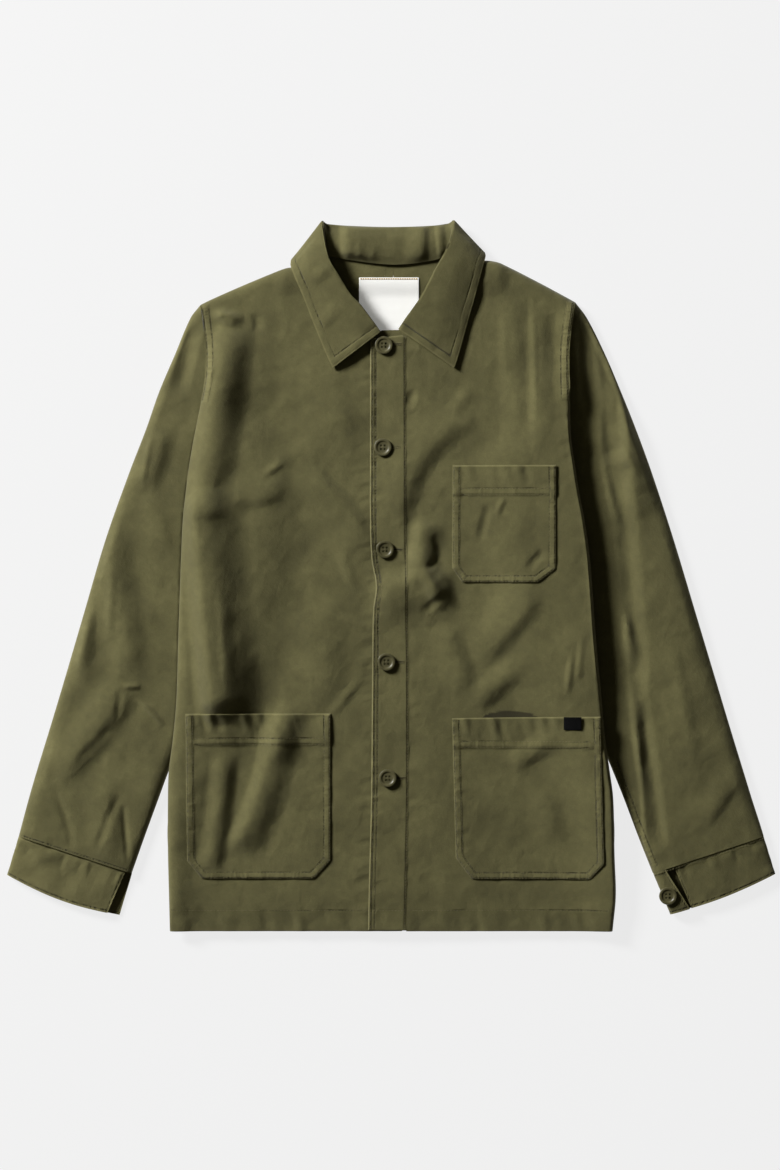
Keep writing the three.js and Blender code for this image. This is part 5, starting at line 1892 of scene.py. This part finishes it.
@dataclass(frozen=True)
class Cuff:
    """A cuff: a strip that turns round the hand's outer side and ends as a tab."""

    side: Side
    lower_outer: tuple[float, float]
    lower_inner: tuple[float, float]
    slants: tuple[float, float]
    path: Table
    flat: tuple[float, float] = (0.26, 0.048)
    area: float = 0.0115
    thickness: float = 1.8
    # Painted shade: how much darker the whole cuff's colour is painted, in place of shade.
    tone: float = 0.0
    bulge: float = 6.0
    drop: float = 42.0
    row_inset: float = 2.0
    columns: int = 170

    def corners(self) -> tuple[Array, Array]:
        """The upper outer and inner points, just beyond the sleeve's last ring."""
        foot = Sleeve(self.side).plan(np.array([LAST_RING]), np.array([0.0, 1.0]))[0]
        lower = np.array([self.lower_outer, self.lower_inner])
        step = (lower - foot) / np.linalg.norm(lower - foot, axis=1)[:, None] * SEAM_GAP
        return foot[0] + step[0], foot[1] + step[1]

    def surface(self) -> tuple[Array, Array, Array]:
        """The middle of the cuff's cloth, the share down and the length along the strip.

        Returns:
            Those arrays, in that order.
        """
        upper_outer, upper_inner = self.corners()
        down = spread(self.drop, 2.0, (0.5, 1.1, 1.9, 3.0))
        outer = mixed(upper_outer, np.array(self.lower_outer), down[:, None])
        inner = mixed(upper_inner, np.array(self.lower_inner), down[:, None])
        width = np.linalg.norm(inner - outer, axis=1)[:, None]
        begin = self.path.column("from")[None] + self.path.column("share")[None] * width
        begin[:, 0] -= down * self.slants[0]
        begin[:, -1] -= down * self.slants[1]
        heights = np.repeat(self.path.column("z")[None], len(down), axis=0)
        rows = []
        away = outer[-1] + inner[-1] - outer[0] - inner[0]
        away = away / np.linalg.norm(away)
        for share, start, height, wide, out, inn in zip(down, begin, heights, width, outer, inner):
            strip = np.stack([start, height], axis=1)
            place = run_lengths(strip)
            at = np.linspace(0.0, place[-1], self.columns)
            reach = read_curve(place, start, at)
            level = read_curve(place, height, at)
            across = reach / wide
            sag = self.bulge * share * np.sin(math.pi * np.clip(across, 0.0, 1.0))
            rows.append(np.column_stack([mixed(out, inn, across[:, None]) + away * sag[:, None], level]))
        points = np.array(rows)
        run = run_lengths(points[len(rows) // 2])
        return points, down * self.drop, run

    def build(self) -> bpy.types.Object:
        """Returns:
            The piece.
        """
        points, down, run = self.surface()
        depth = np.repeat(down[:, None], points.shape[1], axis=1)
        length = np.repeat(run[None], points.shape[0], axis=0)
        from_end = np.minimum(length, run[-1] - length)
        rim = np.minimum(np.minimum(depth, self.drop - depth), from_end)
        row_depth = self.drop - self.row_inset
        row = np.minimum(np.abs(depth - row_depth), np.abs(from_end - self.row_inset))
        worn = smooth((rim - 0.6) / 1.2) * smooth((2.6 - rim) / 1.2) * 0.3
        puckers = Crumple(85, 6.5, 1.5, 4.0).at(length, depth) * np.exp(-((depth - 7.0) / 7.0) ** 2)
        soft = Crumple(86, 17.0, 0.9).at(length, depth)
        points[..., 2] += (puckers + soft) * smooth(rim / 4.0)
        across = length + depth
        tone = np.full(rim.shape, self.tone)
        marks = {"rim": rim, "row": row, "run": across, "worn": worn, "tone": tone}
        turned = points[::-1] if self.side is RIGHT else points
        piece = new_grid(f"cuff_{self.side.name}_cloth", turned)
        mark_vertices(piece, {
            name: values[::-1] if self.side is RIGHT else values for name, values in marks.items()
        })
        thicken(piece, self.thickness, Lay.MIDDLE)
        return declare_cloth(piece, f"cuff_{self.side.name}", OLIVE_CUFF.make(), "cloth", self.flat,
                             self.area, ["floor"])


CUFFS = (
    Cuff(RIGHT, (-415.6, -322.5), (-294.0, -366.5), (6.0, 0.0), Table("from share z", (
        (-7, 1, 6.4), (-22, 1, 7.6), (0, 0.7, 8.0), (0, 0.45, 8.2), (0, 0.2, 8.0), (9, 0, 7.4),
        (3, 0, 6.2), (1, 0, 4.2), (3, 0, 1.9), (9, 0, 0.9), (0, 0.3, 0.9), (0, 0.6, 0.9),
        (-12, 1, 0.9), (0, 1, 0.9),
    ))),
    # The left cuff is painted darker, as painted shade.
    Cuff(LEFT, (416.0, -321.5), (302.0, -365.5), (0.0, 8.0), Table("from share z", (
        (-24, 1, 6.3), (-34, 1, 7.2), (0, 0.62, 8.0), (0, 0.42, 8.2), (0, 0.2, 8.0), (9, 0, 7.4),
        (3, 0, 6.2), (1, 0, 4.2), (3, 0, 1.9), (9, 0, 0.9), (0, 0.3, 0.9), (0, 0.6, 0.9),
        (-9, 1, 0.9), (-3, 1, 2.0), (-1, 1, 4.8), (-3, 1, 8.0), (-8, 1, 9.4), (-14, 1, 9.6),
    )), flat=(0.30, 0.048), area=0.0135, tone=-0.12, bulge=3.5),
)


# Collar


STAND_FOLDS = Table(FOLD_COLUMNS, (
    (-46, 384, -44, 336, 0, 12, 60, 5.0, 0.12),
    (33, 386, 31, 336, 0, 18, 11, 3.6, 0.12),
    (50, 386, 55, 340, 0, 5, 9, 2.4, 0.12),
    (-34, 360, -35, 336, 0, 5, 5, 0.9, 0.3),
    (-20, 360, -19, 336, 0, 5, 5, 0.7, 0.3),
))


LEAF_FOLDS = Table(FOLD_COLUMNS, (
    (-62, 334, -88, 318, 0, 10, 10, 1.2, 0.4),
    (-50, 296, -86, 262, 0, 14, 12, 1.2, 0.4),
))


@dataclass(frozen=True)
class Collar:
    """The turned-down collar: one cloth from the neck seam over the roll to the rim."""

    thickness: float = 2.0
    roll_radius: float = 1.7
    centre: tuple[float, float, float] = (-2.0, 300.0, 0.0)
    stand_lift_above: float = -0.2
    stand_lift_below: float = -3.2
    fall_lifts: tuple[float, float] = (1.4, 1.2)
    sections: int = 330
    flat: tuple[float, float] = (0.52, 0.105)
    area: float = 0.0440

    def read(self, name: str, at: Array) -> Array:
        """Reads a column over the section numbers."""
        values = COLLAR_SECTIONS.column(name)
        return read_curve(np.arange(len(values), dtype=float), values, at)

    def middle_lines(self, at: Array) -> Array:
        """Ten points of each section's middle line, from the neck seam to the rim.

        Args:
            at: Where to read.

        Returns:
            Rows of ten points.
        """
        tip, rim, neck = [
            np.stack([self.read(f"{name}_{axis}", at) for axis in "xyz"], axis=1)
            for name in ("roll", "rim", "neck")
        ]
        turn = np.radians(self.read("turn", at))[:, None]
        inward = tip - rim
        outside = np.stack([-inward[:, 1], inward[:, 0], np.zeros(len(at))], axis=1)
        outside = outside / np.linalg.norm(outside, axis=1)[:, None]
        inner_side = np.sum(outside * (np.array(self.centre) - tip), axis=1) > 0.0
        outside[inner_side] *= -1.0
        fall_side = outside * np.cos(turn) + np.array([0.0, 0.0, 1.0]) * np.sin(turn)
        forward = inward - np.sum(inward * fall_side, axis=1)[:, None] * fall_side
        forward = forward / np.linalg.norm(forward, axis=1)[:, None]
        bend = tip - forward * self.roll_radius
        stand = bend - fall_side * self.roll_radius
        fall = bend + fall_side * self.roll_radius
        below = smooth(-np.sin(turn) * 4.0)
        above = smooth((np.sin(turn) - 0.3) / 0.4)
        lift = mixed(self.stand_lift_above, self.stand_lift_below, below)
        round_in = bend + forward * self.roll_radius * 0.75
        return np.stack([
            neck,
            mixed(neck, stand, 0.35) + fall_side * lift,
            mixed(neck, stand, 0.7) + fall_side * lift,
            stand,
            round_in - fall_side * self.roll_radius * 0.7,
            round_in + fall_side * self.roll_radius * 0.7,
            fall,
            mixed(fall, rim, 0.33) + fall_side * self.fall_lifts[0] * above,
            mixed(fall, rim, 0.67) + fall_side * self.fall_lifts[1] * above,
            rim,
        ], axis=1)

    def surface(self) -> tuple[Array, Array, Array, Array]:
        """The fine grid of points, with the distance from the rim, the run and the share across.

        Returns:
            Those arrays, in that order.
        """
        ends = spread(self.sections * 2.3, 2.3, (0.6, 1.3, 2.2, 3.4, 5.0))
        at = ends * (len(COLLAR_SECTIONS.rows) - 1)
        lines = self.middle_lines(at)
        stand = np.linspace(0.0, 3.0, 18)[:-1]
        roll = np.linspace(3.0, 6.0, 13)[:-1]
        fall = 6.0 + 3.0 * spread(60.0, 2.3, (0.5, 1.1, 1.9, 3.0))
        across = np.concatenate([stand, roll, fall])
        numbers = np.arange(10, dtype=float)
        points = np.stack([
            np.stack([read_curve(numbers, line_points[:, axis], across) for axis in range(3)], axis=1)
            for line_points in lines
        ])
        from_rim = np.stack([run_lengths(row[::-1])[::-1] for row in points])
        middle = points[:, -12]
        run = np.repeat(run_lengths(middle)[:, None], points.shape[1], axis=1)
        share = np.repeat(across[None], points.shape[0], axis=0)
        return points, from_rim, run, share

    def build(self) -> bpy.types.Object:
        """Returns:
            The piece.
        """
        points, from_rim, run, share = self.surface()
        last = run[-1:]
        from_end = np.minimum(run, last - run)
        on_fall = share > 5.5
        rim = np.where(on_fall, np.minimum(from_rim, from_end), 99.0)
        row = np.abs(rim - 8.2)
        at_end = smooth((14.0 - from_end) / 6.0)
        around = mixed(run, from_rim, at_end)
        waves = Crumple(91, 6.0, 0.9, 8.0).at(from_rim, from_end) * at_end
        waves = waves + Crumple(94, 9.0, 0.25, 6.0).at(run, from_rim)
        waves = waves * np.exp(-((rim - 7.0) / 4.5) ** 2) * on_fall
        waves = waves + 0.22 * smooth((rim - 1.0) / 1.5) * smooth((8.0 - rim) / 2.0)
        soft = Crumple(92, 26.0, 0.7).at(points[..., 0], points[..., 1])
        soft = soft + fold_heights(LEAF_FOLDS, points[..., 0], points[..., 1]) * (share > 6.0)
        soft = soft * smooth(rim / 12.0) * (on_fall | (share < 3.0))
        stand_waves = Crumple(93, 11.0, 0.5, 6.0).at(points[..., 0], points[..., 1])
        stand_waves = stand_waves + fold_heights(STAND_FOLDS, points[..., 0], points[..., 1])
        stand_waves = stand_waves * (share < 3.4) * smooth(share * 1.6) * smooth((3.4 - share) * 1.6)
        points[..., 2] += waves + soft + stand_waves
        flat = np.zeros(rim.shape)
        marks = {"rim": rim, "row": row, "run": around, "worn": flat, "tone": flat}
        piece = new_grid("collar_cloth", points)
        mark_vertices(piece, marks)
        thicken(piece, self.thickness, Lay.MIDDLE)
        rests = ["front_right", "front_left", "back_right"]
        return declare_cloth(piece, "collar", OLIVE.make(), "cloth", self.flat, self.area, rests)


# Label, tag and buttons


def small_ribbon(name: str, node: str, box: tuple[float, float, float, float], height: HeightAt,
                 thickness: float, finish: WovenRibbon, slot: str, rests_on: str) -> Panel:
    """A bare woven label or tag as a panel.

    Args:
        name: The piece's name.
        node: The node that it stands for.
        box: Its low and high X and low and high Y.
        height: What it lies on.
        thickness: Its thickness.
        finish: Its material.
        slot: Its material slot.
        rests_on: The piece under it.

    Returns:
        The panel.
    """
    x0, x1, y0, y1 = box
    bottom = fine_line(line((x0, y0), (x1, y0)))
    top = fine_line(line((x0, y1), (x1, y1)))
    left = fine_line(line((x0, y0), (x0, y1)))
    right = fine_line(line((x1, y0), (x1, y1)))
    size = ((x1 - x0) * MM, (y1 - y0) * MM)
    return Panel(name, node, Outline(bottom, top, left, right),
                 lambda x, y: height(x, y) + SEAM_GAP + thickness, thickness, finish, slot, size,
                 size[0] * size[1], (rests_on,), [], [bottom, top, left, right], 0.3, 0.8, 1.6,
                 (0.3, 0.7, 1.2))


@dataclass(frozen=True)
class FourHoleButton:
    """A moulded button: a raised rim, a dished middle and four holes."""

    radius: float = 9.5
    height: float = 3.2
    rim_width: float = 2.6
    dish: float = 1.0
    hole_radius: float = 1.15
    hole_from_centre: float = 1.9
    thread_length: float = 4.6
    thread_width: float = 0.42
    finish: MouldedResin = MouldedResin("olive_resin")

    def master(self) -> bpy.types.Object:
        """Models the button once, standing on the origin.

        Returns:
            The button.
        """
        bpy.ops.object.select_all(action="DESELECT")
        bpy.ops.mesh.primitive_cylinder_add(vertices=64, radius=self.radius * MM, depth=self.height * MM,
                                            location=(0.0, 0.0, self.height / 2.0 * MM))
        button = bpy.context.object
        bpy.ops.object.transform_apply(location=True, rotation=False, scale=False)
        self.inset_top(button)
        soft = button.modifiers.new("Soft", "BEVEL")
        soft.width = 0.55 * MM
        soft.segments = 3
        soft.limit_method = "ANGLE"
        soft.angle_limit = math.radians(35.0)
        bpy.ops.object.modifier_apply(modifier=soft.name)
        for turn in range(4):
            self.drill(button, math.radians(45.0 + 90.0 * turn))
        bpy.ops.object.select_all(action="DESELECT")
        button.select_set(True)
        bpy.context.view_layer.objects.active = button
        bpy.ops.object.shade_smooth_by_angle(angle=math.radians(40.0))
        return button

    def inset_top(self, button: bpy.types.Object) -> None:
        """Insets the top face and sinks it to a dish.

        Args:
            button: The button.
        """
        bpy.ops.object.mode_set(mode="EDIT")
        bpy.ops.mesh.select_all(action="DESELECT")
        bpy.ops.object.mode_set(mode="OBJECT")
        for face in button.data.polygons:
            face.select = face.normal.z > 0.9
        bpy.ops.object.mode_set(mode="EDIT")
        bpy.ops.mesh.inset(thickness=self.rim_width * MM, depth=0.0)
        bpy.ops.mesh.inset(thickness=0.8 * MM, depth=-self.dish * MM)
        bpy.ops.mesh.inset(thickness=2.4 * MM, depth=-0.15 * MM)
        bpy.ops.object.mode_set(mode="OBJECT")

    def drill(self, button: bpy.types.Object, angle: float) -> None:
        """Cuts one thread hole.

        Args:
            button: The button.
            angle: Where the hole is round the middle.
        """
        reach = self.hole_from_centre * math.sqrt(2.0) * MM
        place = (math.cos(angle) * reach, math.sin(angle) * reach, self.height / 2.0 * MM)
        bpy.ops.mesh.primitive_cylinder_add(vertices=16, radius=self.hole_radius * MM,
                                            depth=self.height * 2.0 * MM, location=place)
        drill = bpy.context.object
        cut = button.modifiers.new("Hole", "BOOLEAN")
        cut.operation = "DIFFERENCE"
        cut.object = drill
        bpy.context.view_layer.objects.active = button
        bpy.ops.object.modifier_apply(modifier=cut.name)
        bpy.data.objects.remove(drill)

    def frame_on(self, node: str, height: HeightAt) -> Matrix:
        """The place and tilt of a button on the cloth.

        Args:
            node: The node's name.
            height: The height of the cloth.

        Returns:
            The place.
        """
        low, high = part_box(node)
        x = (low.x + high.x) / 2.0 / MM
        y = (low.y + high.y) / 2.0 / MM
        reach = self.radius

        def level(at_x: float, at_y: float) -> float:
            """The cloth's height at a place."""
            return float(height(np.array(at_x), np.array(at_y)))

        slope_x = level(x + reach, y) - level(x - reach, y)
        slope_y = level(x, y + reach) - level(x, y - reach)
        tilt = Vector((-slope_x / (2 * reach), -slope_y / (2 * reach), 1.0)).normalized()
        turn = Vector((0.0, 0.0, 1.0)).rotation_difference(tilt).to_matrix().to_4x4()
        middle = Vector(((low.x + high.x) / 2.0, (low.y + high.y) / 2.0, (low.z + high.z) / 2.0))
        return Matrix.Translation(middle) @ turn @ Matrix.Translation((0.0, 0.0, -self.height / 2.0 * MM))

    def lay(self, master: bpy.types.Object, node: str, place: Matrix) -> bpy.types.Object:
        """Copies the button to its place, with its own mesh.

        Args:
            master: The modelled button.
            node: The node's name.
            place: Its place.

        Returns:
            The piece.
        """
        piece = master.copy()
        piece.data = master.data.copy()
        piece.data.transform(place)
        piece.name = f"{node}_resin"
        piece.data.name = piece.name
        bpy.context.scene.collection.objects.link(piece)
        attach(piece, "root")
        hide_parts(node)
        return piece

    def build(self, placket_top: HeightAt) -> list[Matrix]:
        """Lays all the buttons and returns their places.

        Args:
            placket_top: The placket's height.

        Returns:
            Each button's place.
        """
        master = self.master()
        master.data.materials.append(self.finish.make())
        places = []
        nodes = [f"button_front_{number}" for number in range(1, 6)] + ["button_cuff_left"]
        for node in nodes:
            height = placket_top if node.startswith("button_front") else (lambda x, y: x * 0.0)
            place = self.frame_on(node, height)
            places.append(place)
            self.lay(master, node, place)
        bpy.data.objects.remove(master)
        LOG.info("buttons: %d", len(places))
        return places

    def thread_rows(self, places: list[Matrix]) -> Array:
        """The thread between the holes: a small cross on each button.

        Args:
            places: The buttons' places.

        Returns:
            The threads' places.
        """
        rows = []
        for place in places:
            turn = np.array(place.to_3x3())
            for angle in (45.0, -45.0):
                middle = np.array(place @ Vector((0.0, 0.0, (self.height - 1.1) * MM))) / MM
                forward = np.array([math.cos(math.radians(angle)), math.sin(math.radians(angle)), 0.0])
                aside = np.array([-forward[1], forward[0], 0.0])
                axes = [turn @ forward * self.thread_length, turn @ aside * self.thread_width,
                        turn @ np.array([0.0, 0.0, self.thread_width])]
                rows.append(np.stack([middle, *axes]))
        return np.array(rows)


# Studio


@dataclass(frozen=True)
class Studio:
    """A pale floor, a window-like key light from the left, weak fill and a camera above."""

    view_height: float = 1.2636
    view_centre: tuple[float, float] = (-0.0011, -0.0092)
    lens: float = 100.0
    sensor: float = 36.0
    jacket_z: float = 0.012
    key_power: float = 548.0
    key_size: float = 1.25
    key_distance: float = 5.6
    key_azimuth: float = 144.0
    key_elevation: float = 26.5
    fill: float = 0.05
    fill_colour: tuple[float, float, float, float] = (1.0, 0.95, 0.74, 1.0)

    def add_floor(self) -> None:
        """Lays the floor."""
        bpy.ops.object.select_all(action="DESELECT")
        bpy.ops.mesh.primitive_plane_add(size=8.0, location=(0.0, 0.0, -0.0004))
        floor = bpy.context.object
        floor.name = "floor"
        floor.data.materials.append(PaleFloor("pale_floor").make())

    def add_lights(self) -> None:
        """Hangs the key light and sets the fill."""
        azimuth = math.radians(self.key_azimuth)
        elevation = math.radians(self.key_elevation)
        direction = Vector((math.cos(azimuth) * math.cos(elevation),
                            math.sin(azimuth) * math.cos(elevation), math.sin(elevation)))
        bpy.ops.object.light_add(type="AREA", location=direction * self.key_distance)
        key = bpy.context.object
        key.name = "key_light"
        key.rotation_euler = direction.to_track_quat("Z", "Y").to_euler()
        key.data.energy = self.key_power
        key.data.size = self.key_size
        world = bpy.data.worlds.new("studio_fill")
        world.use_nodes = True
        background = world.node_tree.nodes["Background"]
        background.inputs["Color"].default_value = self.fill_colour
        background.inputs["Strength"].default_value = self.fill
        bpy.context.scene.world = world

    def add_camera(self) -> None:
        """Hangs the camera straight above."""
        distance = self.view_height * self.lens / self.sensor
        place = (*self.view_centre, distance + self.jacket_z)
        bpy.ops.object.camera_add(location=place, rotation=(0.0, 0.0, 0.0))
        camera = bpy.context.object
        camera.data.sensor_fit = "VERTICAL"
        camera.data.sensor_height = self.sensor
        camera.data.lens = self.lens
        bpy.context.scene.camera = camera

    def build(self) -> None:
        """Builds the studio."""
        self.add_floor()
        self.add_lights()
        self.add_camera()
        settings = bpy.context.scene.view_settings
        settings.view_transform = "Standard"
        settings.look = "None"


LABEL_BOX = (-34.6, 30.2, 266.0, 323.5)
TAG_BOX = (186.0, 205.0, -165.5, -151.5)


def main() -> None:
    """Builds the jacket's pieces in order."""
    logging.basicConfig(level=logging.INFO, format="%(name)s: %(message)s")
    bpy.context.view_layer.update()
    Studio().build()
    panels = [back_half(RIGHT), back_half(LEFT), right_front(), left_front(), Placket().panel()]
    panels.extend(pocket.panel() for pocket in POCKETS)
    for panel in panels:
        panel.build()
    rows = [row for panel in panels for row in panel.stitch_rows()]
    for side in SIDES:
        sleeve = Sleeve(side)
        sleeve.build()
        rows.extend(sleeve.stitch_rows())
    for cuff in CUFFS:
        cuff.build()
    Collar().build()
    # The white label glows a little: painted light that brightens it.
    white = WovenRibbon("white_ribbon_painted_glow", ((0.0, "#ecebe6"), (1.0, "#fdfdfb")), 0.2)
    black = WovenRibbon("black_ribbon", ((0.0, "#020202"), (1.0, "#070708")))
    label = small_ribbon("neck_label_cloth", "neck_label", LABEL_BOX, BODY.back_top, 0.8, white,
                         "label_cloth", "back_right")
    label.build()
    tag = small_ribbon("pocket_tag_cloth", "pocket_tag", TAG_BOX, POCKETS[2].height, 0.9, black,
                       "tag_cloth", "hip_pocket_left")
    tag.build()
    button = FourHoleButton()
    places = button.build(panels[4].top)
    shape = Copied.stitch()
    Stitching("topstitching", OLIVE_THREAD).build(rows, shape)
    sewn_piece("button_thread", button.thread_rows(places), shape, Thread("button_thread"))
    holes = Buttonholes()
    sewn_piece("buttonhole_stitches", holes.bars(panels[4].top), shape, OLIVE_THREAD)
    # Dark slivers in the buttonholes: painted shade for the slits.
    sewn_piece("buttonhole_slit_shade", holes.slits(panels[4].top), shape,
               Thread("slit_shade", ((0.0, "#0b0a05"), (1.0, "#151309"))))
    gold = Thread("gold_thread", ((0.0, "#8f6a12"), (1.0, "#d2a834")))
    label_row = Stitching("label_stitches", gold, 2.5, 2.3, 1.5, 0.7)
    label_row.build([(fine_line(line((-33.5, 322.0), (29.0, 322.0))), label.top)], shape)


if __name__ == "__main__":
    main()
